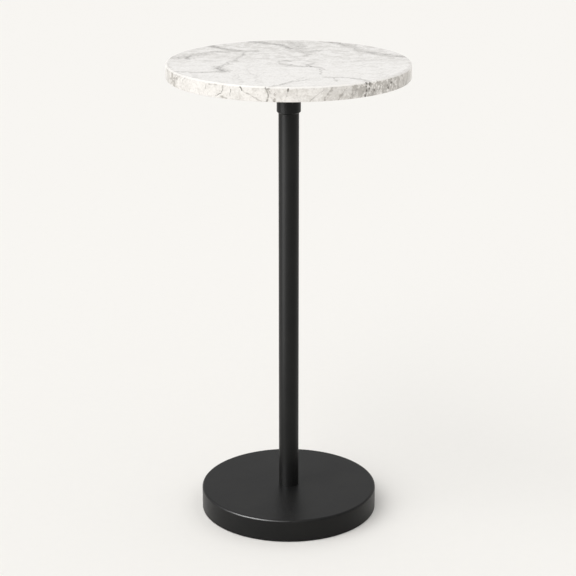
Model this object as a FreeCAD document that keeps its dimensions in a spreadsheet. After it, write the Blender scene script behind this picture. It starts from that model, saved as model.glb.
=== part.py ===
"""Pedestal wine table: a round marble top on a steel column and a weighted round base.

Millimetres, +Z up. The origin is on the floor, under the centre of the base. Every piece is drawn
from its own seat and placed at its height in the stack, which runs from the floor up: felt pads,
bottom plate, iron weight inside a pressed steel cover, column tube, and then the collar and the
mounting plate that carry the stone.
"""

import FreeCAD
import Part
import Sketcher

import math
import os
from types import SimpleNamespace

from FreeCAD import Vector

DOC = FreeCAD.newDocument("wine_table")
FULL_TURN = 360.0
HALF_TURN = 180.0
ANTICLOCKWISE = 1
CLOCKWISE = -1


# Driving sizes: name, millimetres (or a count) and what each one measures

SIZES = [
    ("table_height", 600.0, "floor to the polished face"),
    ("cut_overrun", 1.0, "how far a cut runs past the face that it leaves by"),
    ("thread_clearance", 0.05, "radial gap between a male and a female thread"),

    ("top_diameter", 305.0, "marble disc"),
    ("top_thickness", 18.0, "marble disc"),
    ("top_bevel", 1.8, "bevel of the polished face's edge"),
    ("bevel_easing", 0.4, "rounding where that bevel meets the face and the rim"),
    ("under_arris", 1.0, "rounding of the underside's edge"),
    ("stone_over_insert", 8.85, "stone left above an insert's pocket"),
    ("insert_wall", 1.45, "brass insert"),
    ("insert_bond", 0.15, "resin round and above an insert"),
    ("insert_groove", 0.5, "depth of the resin groove round an insert"),

    ("gasket_thickness", 1.0, "foam between the stone and the mounting plate"),
    ("plate_thickness", 4.0, "mounting plate"),
    ("plate_margin", 14.0, "fixing hole's centre to the mounting plate's edge"),
    ("plate_edge", 0.8, "bevel of the mounting plate's edge"),
    ("fixing_circle", 92.0, "pitch circle of the plate screws and inserts"),
    ("fixing_count", 4, "plate screws, washers and inserts"),
    ("fixing_thread", 6.0, "plate screw"),
    ("fixing_tip_gap", 2.6, "plate screw's tip to the end of its insert"),
    ("fixing_hole_gap", 0.3, "radial gap round a plate screw"),
    ("fixing_head_diameter", 10.5, "plate screw's button head"),
    ("fixing_head_height", 3.3, "plate screw's button head"),
    ("fixing_head_rim", 0.8, "upright rim of the button head"),
    ("fixing_socket", 4.0, "button head's hexagon, across flats"),
    ("fixing_socket_depth", 1.9, "button head's hexagon"),
    ("fixing_washer_diameter", 12.5, "plain washer under a plate screw"),
    ("fixing_washer_thickness", 1.6, "plain washer under a plate screw"),

    ("tube_diameter", 26.0, "column tube"),
    ("tube_wall", 1.5, "column tube"),
    ("collar_wall", 2.1, "collar round the head of the column"),
    ("collar_gap", 0.1, "radial gap between collar and column"),
    ("collar_drop", 40.8, "mounting plate down to the collar's lower rim"),
    ("collar_lip", 0.3, "flat left inside the collar's lower bevel"),
    ("collar_weld", 3.0, "leg of the weld between collar and plate"),
    ("column_thread", 10.0, "stud at the head and bolt at the foot of the column"),
    ("thread_tip", 1.0, "bevel at the tip of the stud and the bolt"),
    ("stud_engagement", 24.0, "stud below the mounting plate"),
    ("plug_length", 30.0, "tapped plug in each end of the column"),
    ("plug_gap", 0.05, "radial gap between plug and tube"),
    ("plug_lead", 1.0, "bevel at a plug's inner end"),

    ("base_diameter", 231.0, "base cover"),
    ("base_height", 30.0, "floor to the base's upper face"),
    ("floor_gap", 0.8, "floor to the cover's rim"),
    ("cover_wall", 2.0, "sheet of the base cover"),
    ("cover_inner_bend", 0.6, "inside of the bend between the cover's top and side"),
    ("weight_gap", 0.5, "radial gap between weight and cover"),
    ("weight_edge", 3.0, "bevel of the weight inside the cover's bend"),
    ("weight_edge_below", 1.5, "bevel of the weight's lower edge"),
    ("bolt_hole_gap", 0.5, "radial gap round the base bolt"),
    ("bolt_length", 40.0, "base bolt below its head"),
    ("bolt_head_width", 17.0, "base bolt's head, across flats"),
    ("bolt_head_height", 6.4, "base bolt's head"),
    ("bolt_head_inset", 2.3, "base bolt's head to the weight's underside"),
    ("flat_washer_diameter", 30.0, "wide washer over the base bolt"),
    ("flat_washer_thickness", 2.5, "wide washer over the base bolt"),
    ("spring_washer_width", 4.0, "section of the split washer"),
    ("spring_washer_thickness", 2.2, "section of the split washer"),
    ("spring_washer_slit", 1.6, "slit of the split washer"),
    ("washer_gap", 0.25, "radial gap round the base bolt in its washers"),
    ("recess_gap", 3.0, "radial gap round the wide washer in the weight"),
    ("access_margin", 1.0, "spanner opening past the recess, all round"),

    ("bottom_thickness", 1.2, "sheet that closes the base"),
    ("bottom_gap", 0.6, "radial gap between bottom plate and cover"),
    ("closing_count", 4, "bottom plate screws"),
    ("closing_margin", 10.0, "bottom plate screw's centre to the ring of pads"),
    ("closing_thread", 4.0, "bottom plate screw"),
    ("closing_length", 9.0, "bottom plate screw below its head"),
    ("closing_hole_gap", 0.25, "radial gap round a screw in the bottom plate"),
    ("closing_head_diameter", 8.0, "flat head of a bottom plate screw"),
    ("closing_head_height", 1.5, "flat head of a bottom plate screw"),
    ("closing_slot_width", 1.2, "driver cross in the flat head"),
    ("closing_slot_length", 4.4, "driver cross in the flat head"),
    ("closing_slot_depth", 0.9, "driver cross in the flat head"),
    ("pad_count", 6, "felt pads"),
    ("pad_diameter", 24.0, "felt pad"),
    ("pad_thickness", 3.0, "felt pad"),
    ("pad_edge", 0.5, "worn edge of a felt pad"),
    ("pad_margin", 4.5, "felt pad's edge to the inside of the cover"),
]


class Size:
    """A size that the sheet drives: the formula that binds it, and its value in millimetres."""

    def __init__(self, formula, value):
        self.formula = formula
        self.value = value

    def __add__(self, other):
        return Size(f"({self.formula} + {other.formula})", self.value + other.value)

    def __sub__(self, other):
        return Size(f"({self.formula} - {other.formula})", self.value - other.value)

    def __mul__(self, factor):
        return Size(f"({self.formula} * {factor})", self.value * factor)

    def __truediv__(self, divisor):
        return Size(f"({self.formula} / {divisor})", self.value / divisor)

    def __neg__(self):
        return self * -1


def make_sheet():
    """The spreadsheet of driving sizes, and each of them as a Size by its own name."""
    sheet = DOC.addObject("Spreadsheet::Sheet", "dims")
    sizes = {}
    for row, (name, value, meaning) in enumerate(SIZES, start=1):
        sheet.set(f"A{row}", name)
        sheet.set(f"B{row}", str(value))
        sheet.set(f"C{row}", meaning)
        sheet.setAlias(f"B{row}", name)
        sizes[name] = Size(f"dims.{name}", value)
    DOC.recompute()
    return SimpleNamespace(**sizes)


dims = make_sheet()
ZERO = Size("0", 0.0)


# Radii and heights that several pieces share

TOP_RADIUS = dims.top_diameter / 2
STONE_UNDERSIDE = dims.table_height - dims.top_thickness
PLATE_FACE = STONE_UNDERSIDE - dims.gasket_thickness
PLATE_UNDERSIDE = PLATE_FACE - dims.plate_thickness
FIXING_SEAT = PLATE_UNDERSIDE - dims.fixing_washer_thickness
FIXING_RADIUS = dims.fixing_circle / 2
FIXING_BORE = dims.fixing_thread / 2 + dims.fixing_hole_gap
PLATE_RADIUS = FIXING_RADIUS + dims.plate_margin
INSERT_BORE = dims.fixing_thread / 2 + dims.thread_clearance
INSERT_RADIUS = INSERT_BORE + dims.insert_wall
INSERT_POCKET_DEPTH = dims.top_thickness - dims.stone_over_insert
INSERT_LENGTH = INSERT_POCKET_DEPTH - dims.insert_bond

COLUMN_RADIUS = dims.tube_diameter / 2
COLUMN_BORE = COLUMN_RADIUS - dims.tube_wall
COLUMN_FOOT = dims.base_height
COLUMN_HEAD = PLATE_UNDERSIDE
COLLAR_BORE = COLUMN_RADIUS + dims.collar_gap
COLLAR_RADIUS = COLLAR_BORE + dims.collar_wall
THREAD_RADIUS = dims.column_thread / 2
TAPPED_RADIUS = THREAD_RADIUS + dims.thread_clearance
PLUG_RADIUS = COLUMN_BORE - dims.plug_gap

BASE_RADIUS = dims.base_diameter / 2
COVER_BORE = BASE_RADIUS - dims.cover_wall
COVER_CEILING = dims.base_height - dims.cover_wall
BOTTOM_UNDERSIDE = dims.pad_thickness
WEIGHT_UNDERSIDE = BOTTOM_UNDERSIDE + dims.bottom_thickness
BOLT_SEAT = WEIGHT_UNDERSIDE + dims.bolt_head_inset + dims.bolt_head_height
SPRING_WASHER_TOP = BOLT_SEAT + dims.spring_washer_thickness
WASHER_SEAT = SPRING_WASHER_TOP + dims.flat_washer_thickness
BOLT_HOLE_RADIUS = THREAD_RADIUS + dims.bolt_hole_gap
WASHER_BORE = THREAD_RADIUS + dims.washer_gap
RECESS_RADIUS = dims.flat_washer_diameter / 2 + dims.recess_gap
PAD_RING_RADIUS = COVER_BORE - dims.pad_margin - dims.pad_diameter / 2
CLOSING_RADIUS = PAD_RING_RADIUS - dims.pad_diameter / 2 - dims.closing_margin
CLOSING_SHANK = dims.closing_thread / 2


# Sketch and feature helpers


def new_body(label, seat, several_solids=False):
    """An empty body for one sub-part, or for a set of like pieces, with its zero height at its seat."""
    body = DOC.addObject("PartDesign::Body", label)
    body.Label = label
    body.AllowCompound = several_solids
    body.setExpression("Placement.Base.z", seat.formula)
    return body


def origin_feature(body, role):
    """One of the body's own origin planes or axes."""
    return next(item for item in body.Origin.OriginFeatures if item.Role == role)


def new_sketch(body, name, role, height=ZERO):
    """A sketch on an origin plane of the body, raised along the plane's normal."""
    sketch = body.newObject("Sketcher::SketchObject", name)
    sketch.AttachmentSupport = [(origin_feature(body, role), "")]
    sketch.MapMode = "FlatFace"
    sketch.setExpression("AttachmentOffset.Base.z", height.formula)
    return sketch


def level_sketch(body, name, height=ZERO):
    """A sketch on a level plane at a height above the body's seat."""
    return new_sketch(body, name, "XY_Plane", height)


def bind(sketch, kind, where, size):
    """One dimension of a sketch, bound to a size."""
    index = sketch.addConstraint(Sketcher.Constraint(kind, *where, size.value))
    sketch.setExpression(f"Constraints[{index}]", size.formula)


def place_point(sketch, geometry, vertex, x, y):
    """Holds a point of the sketch's geometry to x and y, measured from the sketch's origin."""
    bind(sketch, "DistanceX", (-1, 1, geometry, vertex), x)
    bind(sketch, "DistanceY", (-1, 1, geometry, vertex), y)


def arc_between(start, end, radius, turn):
    """The short arc of that radius from start to end, anticlockwise or clockwise."""
    chord = end - start
    half = chord.Length / 2
    rise = math.sqrt(max(radius * radius - half * half, 0))
    across = Vector(-chord.y, chord.x, 0).normalize()
    centre = (start + end) / 2 + across * rise * turn
    first, last = (start, end) if turn == ANTICLOCKWISE else (end, start)
    angles = [math.atan2(point.y - centre.y, point.x - centre.x) for point in (first, last)]
    return Part.ArcOfCircle(Part.Circle(centre, Vector(0, 0, 1), radius), *angles)


def draw_outline(sketch, corners):
    """A closed outline. A corner is (x, y), or (x, y, radius, turn) where an arc leads to it."""
    points = [Vector(corner[0].value, corner[1].value, 0) for corner in corners]
    edges = []
    for index, (_, _, *arc) in enumerate(corners):
        start, end = points[index - 1], points[index]
        if not arc:
            edge = sketch.addGeometry(Part.LineSegment(start, end), False)
            edges.append((edge, 1, 2))
            continue
        radius, turn = arc
        edge = sketch.addGeometry(arc_between(start, end, radius.value, turn), False)
        bind(sketch, "Radius", (edge,), radius)
        edges.append((edge, 1, 2) if turn == ANTICLOCKWISE else (edge, 2, 1))
    for index, (x, y, *_) in enumerate(corners):
        edge, _, end_vertex = edges[index]
        next_edge, next_start, _ = edges[(index + 1) % len(corners)]
        sketch.addConstraint(Sketcher.Constraint("Coincident", edge, end_vertex, next_edge, next_start))
        place_point(sketch, edge, end_vertex, x, y)


def draw_circle(sketch, radius, x=ZERO):
    """A circle whose centre lies on the sketch's X axis."""
    circle = Part.Circle(Vector(x.value, 0, 0), Vector(0, 0, 1), radius.value)
    index = sketch.addGeometry(circle, False)
    bind(sketch, "Radius", (index,), radius)
    place_point(sketch, index, 3, x, ZERO)


def draw_hexagon(sketch, across_flats, x=ZERO):
    """A hexagon whose centre lies on the sketch's X axis, with two corners on that axis."""
    flat = across_flats / 2
    corner = across_flats / math.sqrt(3)
    draw_outline(sketch, [
        (x + corner, ZERO),
        (x + corner / 2, flat),
        (x - corner / 2, flat),
        (x - corner, ZERO),
        (x - corner / 2, -flat),
        (x + corner / 2, -flat),
    ])


def draw_rectangle(sketch, width, depth, x):
    """A rectangle whose centre lies on the sketch's X axis."""
    draw_outline(sketch, [
        (x - width / 2, -depth / 2),
        (x + width / 2, -depth / 2),
        (x + width / 2, depth / 2),
        (x - width / 2, depth / 2),
    ])


def revolve(body, name, outline):
    """A turned solid about the table's axis, from an outline of radii and heights."""
    sketch = new_sketch(body, name + "_profile", "XZ_Plane")
    draw_outline(sketch, outline)
    turned = body.newObject("PartDesign::Revolution", name)
    turned.Profile = sketch
    turned.ReferenceAxis = (sketch, ["V_Axis"])
    turned.Angle = FULL_TURN
    return turned


def revolve_aside(body, name, offset, outline):
    """A turned solid about an upright axis at an offset from the table's own."""
    sketch = new_sketch(body, name + "_profile", "XZ_Plane")
    draw_outline(sketch, [(offset + radius, height, *arc) for radius, height, *arc in outline])
    foot = Vector(offset.value, 0, 0)
    axis = sketch.addGeometry(Part.LineSegment(foot, foot + Vector(0, dims.table_height.value, 0)), True)
    place_point(sketch, axis, 1, offset, ZERO)
    place_point(sketch, axis, 2, offset, dims.table_height)
    turned = body.newObject("PartDesign::Revolution", name)
    turned.Profile = sketch
    turned.ReferenceAxis = (sketch, ["Axis0"])
    turned.Angle = FULL_TURN
    return turned


def pad_up(body, name, sketch, length):
    """A solid drawn upwards from a level sketch."""
    pad = body.newObject("PartDesign::Pad", name)
    pad.Profile = sketch
    pad.setExpression("Length", length.formula)
    return pad


def cut_along(body, name, sketch, depth):
    """A cut that runs from a sketch along its plane's normal. It has to remove something."""
    DOC.recompute()
    before = body.Shape.Volume
    pocket = body.newObject("PartDesign::Pocket", name)
    pocket.Profile = sketch
    pocket.Reversed = True
    pocket.setExpression("Length", depth.formula)
    DOC.recompute()
    if pocket.Shape.Volume >= before:
        raise RuntimeError(f"{name} of {body.Label} cuts nothing")
    return pocket


def repeat_round(body, name, features, count):
    """Repeats features evenly round the table's axis."""
    pattern = body.newObject("PartDesign::PolarPattern", name)
    pattern.Originals = features
    pattern.Axis = (origin_feature(body, "Z_Axis"), [""])
    pattern.Angle = FULL_TURN
    pattern.setExpression("Occurrences", count.formula)
    body.Tip = pattern


def ring_edges(feature, radius, height):
    """Names of the feature's round edges of that radius at that height."""
    names = []
    for index, edge in enumerate(feature.Shape.Edges, start=1):
        if not isinstance(edge.Curve, Part.Circle):
            continue
        same_radius = math.isclose(edge.Curve.Radius, radius.value)
        if same_radius and math.isclose(edge.Curve.Center.z, height.value):
            names.append(f"Edge{index}")
    return names


def round_edge(body, name, base, radius, height, size):
    """Rounds the circular edge of that radius at that height."""
    DOC.recompute()
    rounded = body.newObject("PartDesign::Fillet", name)
    rounded.Base = (base, ring_edges(base, radius, height))
    rounded.setExpression("Radius", size.formula)
    return rounded


def bevel_edge(body, name, base, radius, height, size):
    """Bevels the circular edge of that radius at that height, evenly both ways."""
    DOC.recompute()
    bevel = body.newObject("PartDesign::Chamfer", name)
    bevel.Base = (base, ring_edges(base, radius, height))
    bevel.setExpression("Size", size.formula)
    return bevel


# The stone and what fastens it


def build_marble_top():
    """Polished disc with a bevelled upper edge, and blind pockets underneath for the inserts."""
    body = new_body("marble_top", STONE_UNDERSIDE)
    outline = level_sketch(body, "top_outline")
    draw_circle(outline, TOP_RADIUS)
    slab = pad_up(body, "slab", outline, dims.top_thickness)
    face, foot = TOP_RADIUS - dims.top_bevel, dims.top_thickness - dims.top_bevel
    bevel = bevel_edge(body, "polished_bevel", slab, TOP_RADIUS, dims.top_thickness, dims.top_bevel)
    eased = round_edge(body, "bevel_to_face", bevel, face, dims.top_thickness, dims.bevel_easing)
    eased = round_edge(body, "bevel_to_rim", eased, TOP_RADIUS, foot, dims.bevel_easing)
    round_edge(body, "lower_arris", eased, TOP_RADIUS, ZERO, dims.under_arris)
    mouth = level_sketch(body, "insert_pocket_outline", -dims.cut_overrun)
    draw_circle(mouth, INSERT_RADIUS + dims.insert_bond, FIXING_RADIUS)
    pocket = cut_along(body, "insert_pocket", mouth, INSERT_POCKET_DEPTH + dims.cut_overrun)
    repeat_round(body, "insert_pockets", [pocket], dims.fixing_count)
    return body


def build_stone_inserts():
    """Tapped brass bushes bonded into the stone, each with a resin groove round its waist."""
    body = new_body("stone_inserts", STONE_UNDERSIDE, several_solids=True)
    waist = INSERT_RADIUS - dims.insert_groove
    waist_half = INSERT_LENGTH / 6
    middle = INSERT_LENGTH / 2
    insert = revolve_aside(body, "insert", FIXING_RADIUS, [
        (INSERT_BORE, ZERO),
        (INSERT_RADIUS, ZERO),
        (INSERT_RADIUS, middle - waist_half - dims.insert_groove),
        (waist, middle - waist_half),
        (waist, middle + waist_half),
        (INSERT_RADIUS, middle + waist_half + dims.insert_groove),
        (INSERT_RADIUS, INSERT_LENGTH),
        (INSERT_BORE, INSERT_LENGTH),
    ])
    repeat_round(body, "insert_set", [insert], dims.fixing_count)
    return body


def drill_fixing_holes(body, thickness):
    """Clearance holes for the plate screws, right through a flat piece."""
    outline = level_sketch(body, "fixing_hole_outline", -dims.cut_overrun)
    draw_circle(outline, FIXING_BORE, FIXING_RADIUS)
    hole = cut_along(body, "fixing_hole", outline, thickness + dims.cut_overrun * 2)
    repeat_round(body, "fixing_holes", [hole], dims.fixing_count)


def build_stone_gasket():
    """Thin foam disc that beds the stone on the plate."""
    body = new_body("stone_gasket", PLATE_FACE)
    outline = level_sketch(body, "gasket_outline")
    draw_circle(outline, PLATE_RADIUS - dims.plate_edge)
    pad_up(body, "gasket_sheet", outline, dims.gasket_thickness)
    drill_fixing_holes(body, dims.gasket_thickness)
    return body


def build_mounting_plate():
    """Steel disc with bevelled edges, holes for the screws and a centre hole for the welded stud."""
    body = new_body("mounting_plate", PLATE_UNDERSIDE)
    revolve(body, "plate_disc", [
        (TAPPED_RADIUS, ZERO),
        (PLATE_RADIUS - dims.plate_edge, ZERO),
        (PLATE_RADIUS, dims.plate_edge),
        (PLATE_RADIUS, dims.plate_thickness - dims.plate_edge),
        (PLATE_RADIUS - dims.plate_edge, dims.plate_thickness),
        (TAPPED_RADIUS, dims.plate_thickness),
    ])
    drill_fixing_holes(body, dims.plate_thickness)
    return body


def build_plate_screws():
    """Button head screws that pull the stone down on the plate."""
    body = new_body("plate_screws", FIXING_SEAT, several_solids=True)
    shank = dims.fixing_thread / 2
    head = dims.fixing_head_diameter / 2
    crown = dims.fixing_head_height - dims.fixing_head_rim
    clamped = dims.fixing_washer_thickness + dims.plate_thickness + dims.gasket_thickness
    tip = clamped + INSERT_LENGTH - dims.fixing_tip_gap
    screw = revolve_aside(body, "plate_screw", FIXING_RADIUS, [
        (ZERO, -dims.fixing_head_height),
        (head - crown, -dims.fixing_head_height),
        (head, -dims.fixing_head_rim, crown, ANTICLOCKWISE),
        (head, ZERO),
        (shank, ZERO),
        (shank, tip),
        (ZERO, tip),
    ])
    outline = level_sketch(body, "plate_socket_outline", -dims.fixing_head_height - dims.cut_overrun)
    draw_hexagon(outline, dims.fixing_socket, FIXING_RADIUS)
    socket = cut_along(body, "plate_socket", outline, dims.fixing_socket_depth + dims.cut_overrun)
    repeat_round(body, "plate_screw_set", [screw, socket], dims.fixing_count)
    return body


def build_plate_washers():
    """Plain washers between the screw heads and the plate."""
    body = new_body("plate_washers", FIXING_SEAT, several_solids=True)
    outside = dims.fixing_washer_diameter / 2
    washer = revolve_aside(body, "plate_washer", FIXING_RADIUS, [
        (FIXING_BORE, ZERO),
        (outside, ZERO),
        (outside, dims.fixing_washer_thickness),
        (FIXING_BORE, dims.fixing_washer_thickness),
    ])
    repeat_round(body, "plate_washer_set", [washer], dims.fixing_count)
    return body


# The column


def build_column_collar():
    """Collar welded under the plate, bevelled down to the column at its lower rim."""
    body = new_body("column_collar", PLATE_UNDERSIDE - dims.collar_drop)
    revolve(body, "collar_ring", [
        (COLLAR_BORE, ZERO),
        (COLLAR_BORE + dims.collar_lip, ZERO),
        (COLLAR_RADIUS, dims.collar_wall - dims.collar_lip),
        (COLLAR_RADIUS, dims.collar_drop - dims.collar_weld),
        (COLLAR_RADIUS + dims.collar_weld, dims.collar_drop, dims.collar_weld, CLOCKWISE),
        (COLLAR_BORE, dims.collar_drop),
    ])
    return body


def build_top_stud():
    """Threaded stud, welded flush into the plate, that the column screws on to."""
    body = new_body("top_stud", PLATE_UNDERSIDE - dims.stud_engagement)
    length = dims.stud_engagement + dims.plate_thickness
    revolve(body, "stud_bar", [
        (ZERO, ZERO),
        (THREAD_RADIUS - dims.thread_tip, ZERO),
        (THREAD_RADIUS, dims.thread_tip),
        (THREAD_RADIUS, length),
        (ZERO, length),
    ])
    return body


def build_column_tube():
    """Round steel tube from the base cover up to the mounting plate."""
    body = new_body("column_tube", COLUMN_FOOT)
    section = level_sketch(body, "tube_section")
    draw_circle(section, COLUMN_RADIUS)
    draw_circle(section, COLUMN_BORE)
    pad_up(body, "tube", section, COLUMN_HEAD - COLUMN_FOOT)
    return body


def build_column_plug(label, mouth, tilt):
    """Tapped plug welded flush into one end of the tube; the one at the head is turned over."""
    body = new_body(label, mouth)
    body.Placement.Rotation = FreeCAD.Rotation(Vector(1, 0, 0), tilt)
    revolve(body, label + "_bar", [
        (TAPPED_RADIUS, ZERO),
        (PLUG_RADIUS, ZERO),
        (PLUG_RADIUS, dims.plug_length - dims.plug_lead),
        (PLUG_RADIUS - dims.plug_lead, dims.plug_length),
        (TAPPED_RADIUS, dims.plug_length),
    ])
    return body


# The base


def build_base_cover():
    """Pressed steel cover: a flat top, a tight bend and an upright side, open underneath."""
    body = new_body("base_cover", dims.floor_gap)
    face = dims.base_height - dims.floor_gap
    ceiling = face - dims.cover_wall
    inner_bend = dims.cover_inner_bend
    outer_bend = inner_bend + dims.cover_wall
    revolve(body, "cover_shell", [
        (BOLT_HOLE_RADIUS, ceiling),
        (COVER_BORE - inner_bend, ceiling),
        (COVER_BORE, ceiling - inner_bend, inner_bend, CLOCKWISE),
        (COVER_BORE, ZERO),
        (BASE_RADIUS, ZERO),
        (BASE_RADIUS, face - outer_bend),
        (BASE_RADIUS - outer_bend, face, outer_bend, ANTICLOCKWISE),
        (BOLT_HOLE_RADIUS, face),
    ])
    return body


def build_base_weight():
    """Cast iron disc that fills the cover, recessed underneath for the bolt and its washers."""
    body = new_body("base_weight", WEIGHT_UNDERSIDE)
    outside = COVER_BORE - dims.weight_gap
    height = COVER_CEILING - WEIGHT_UNDERSIDE
    recess_depth = WASHER_SEAT - WEIGHT_UNDERSIDE
    revolve(body, "weight_disc", [
        (RECESS_RADIUS, ZERO),
        (outside - dims.weight_edge_below, ZERO),
        (outside, dims.weight_edge_below),
        (outside, height - dims.weight_edge),
        (outside - dims.weight_edge, height),
        (BOLT_HOLE_RADIUS, height),
        (BOLT_HOLE_RADIUS, recess_depth),
        (RECESS_RADIUS, recess_depth),
    ])
    outline = level_sketch(body, "closing_hole_outline", -dims.cut_overrun)
    draw_circle(outline, CLOSING_SHANK + dims.thread_clearance, CLOSING_RADIUS)
    depth = dims.closing_length - dims.bottom_thickness + dims.cut_overrun
    hole = cut_along(body, "closing_hole", outline, depth + dims.cut_overrun)
    repeat_round(body, "closing_holes", [hole], dims.closing_count)
    return body


def build_flat_washer():
    """Wide washer that spreads the bolt's pull over the iron."""
    body = new_body("flat_washer", SPRING_WASHER_TOP)
    revolve(body, "flat_washer_ring", [
        (WASHER_BORE, ZERO),
        (dims.flat_washer_diameter / 2, ZERO),
        (dims.flat_washer_diameter / 2, dims.flat_washer_thickness),
        (WASHER_BORE, dims.flat_washer_thickness),
    ])
    return body


def build_spring_washer():
    """Split washer, pulled flat under the bolt head, with its slit cut on the slant."""
    body = new_body("spring_washer", BOLT_SEAT)
    outside = WASHER_BORE + dims.spring_washer_width
    thickness = dims.spring_washer_thickness
    revolve(body, "spring_washer_ring", [
        (WASHER_BORE, ZERO),
        (outside, ZERO),
        (outside, thickness),
        (WASHER_BORE, thickness),
    ])
    half_slit = dims.spring_washer_slit / 2
    half_lean = thickness / 2
    outline = new_sketch(body, "slit_outline", "YZ_Plane")
    draw_outline(outline, [
        (-half_slit - half_lean, -dims.cut_overrun),
        (half_slit - half_lean, -dims.cut_overrun),
        (half_slit + half_lean, thickness + dims.cut_overrun),
        (half_lean - half_slit, thickness + dims.cut_overrun),
    ])
    cut_along(body, "slit", outline, outside + dims.cut_overrun)
    return body


def build_base_bolt():
    """Hexagon head bolt, from under the weight up into the column's lower plug."""
    body = new_body("base_bolt", BOLT_SEAT)
    outline = level_sketch(body, "bolt_head_outline", -dims.bolt_head_height)
    draw_hexagon(outline, dims.bolt_head_width)
    pad_up(body, "bolt_head", outline, dims.bolt_head_height)
    revolve(body, "bolt_shank", [
        (ZERO, -dims.bolt_head_height / 2),
        (THREAD_RADIUS, -dims.bolt_head_height / 2),
        (THREAD_RADIUS, dims.bolt_length - dims.thread_tip),
        (THREAD_RADIUS - dims.thread_tip, dims.bolt_length),
        (ZERO, dims.bolt_length),
    ])
    return body


def build_bottom_plate():
    """Sheet that closes the base, with a round opening for the spanner."""
    body = new_body("bottom_plate", BOTTOM_UNDERSIDE)
    outline = level_sketch(body, "bottom_outline")
    draw_circle(outline, COVER_BORE - dims.bottom_gap)
    draw_circle(outline, RECESS_RADIUS + dims.access_margin)
    pad_up(body, "bottom_sheet", outline, dims.bottom_thickness)
    outline = level_sketch(body, "screw_hole_outline", -dims.cut_overrun)
    draw_circle(outline, CLOSING_SHANK + dims.closing_hole_gap, CLOSING_RADIUS)
    hole = cut_along(body, "screw_hole", outline, dims.bottom_thickness + dims.cut_overrun * 2)
    repeat_round(body, "screw_holes", [hole], dims.closing_count)
    return body


def build_bottom_screws():
    """Flat head screws with a driver cross, which hold the bottom plate to the weight."""
    body = new_body("bottom_screws", BOTTOM_UNDERSIDE, several_solids=True)
    head = dims.closing_head_diameter / 2
    rim = dims.closing_head_height / 2
    screw = revolve_aside(body, "bottom_screw", CLOSING_RADIUS, [
        (ZERO, -dims.closing_head_height),
        (head - rim, -dims.closing_head_height),
        (head, -rim, rim, ANTICLOCKWISE),
        (head, ZERO),
        (CLOSING_SHANK, ZERO),
        (CLOSING_SHANK, dims.closing_length),
        (ZERO, dims.closing_length),
    ])
    features = [screw]
    long_side, short_side = dims.closing_slot_length, dims.closing_slot_width
    for name, width, depth in (("slot_out", long_side, short_side), ("slot_round", short_side, long_side)):
        outline = level_sketch(body, name + "_outline", -dims.closing_head_height - dims.cut_overrun)
        draw_rectangle(outline, width, depth, CLOSING_RADIUS)
        features.append(cut_along(body, name, outline, dims.closing_slot_depth + dims.cut_overrun))
    repeat_round(body, "bottom_screw_set", features, dims.closing_count)
    return body


def build_floor_pads():
    """Felt pads stuck to the bottom plate, which lift the cover's rim off the floor."""
    body = new_body("floor_pads", ZERO, several_solids=True)
    outside = dims.pad_diameter / 2
    pad = revolve_aside(body, "floor_pad", PAD_RING_RADIUS, [
        (ZERO, ZERO),
        (outside - dims.pad_edge, ZERO),
        (outside, dims.pad_edge),
        (outside, dims.pad_thickness),
        (ZERO, dims.pad_thickness),
    ])
    repeat_round(body, "floor_pad_set", [pad], dims.pad_count)
    return body


def build_table():
    """Every sub-part, from the stone down to the floor."""
    return [
        build_marble_top(),
        build_stone_inserts(),
        build_stone_gasket(),
        build_mounting_plate(),
        build_plate_screws(),
        build_plate_washers(),
        build_column_collar(),
        build_top_stud(),
        build_column_tube(),
        build_column_plug("upper_plug", COLUMN_HEAD, HALF_TURN),
        build_column_plug("lower_plug", COLUMN_FOOT, 0),
        build_base_cover(),
        build_base_weight(),
        build_flat_washer(),
        build_spring_washer(),
        build_base_bolt(),
        build_bottom_plate(),
        build_bottom_screws(),
        build_floor_pads(),
    ]


def check_document(bodies):
    """Stops the build if an object failed to compute or a sub-part has no valid shape."""
    failed = [item.Label for item in DOC.Objects if {"Invalid", "Error"} & set(item.State)]
    if failed:
        raise RuntimeError(f"these objects failed: {failed}")
    for body in bodies:
        if body.Shape.isNull() or not body.Shape.isValid():
            raise RuntimeError(f"{body.Label} has no valid shape")


def write_parts(bodies):
    """Writes each sub-part to a file of its own."""
    os.makedirs("parts", exist_ok=True)
    for body in bodies:
        body.Shape.exportStep(os.path.join("parts", body.Label + ".step"))
        print(f"{body.Label}: {len(body.Shape.Solids)} solid(s), {body.Shape.Volume:.1f} mm3")


table = build_table()
DOC.recompute()
check_document(table)
write_parts(table)
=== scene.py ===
"""Looks of a small marble wine table: finishes, detailed pieces, floor, light and camera."""

import logging
import math
from collections.abc import Callable, Mapping, Sequence
from dataclasses import dataclass
from enum import Enum

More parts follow.
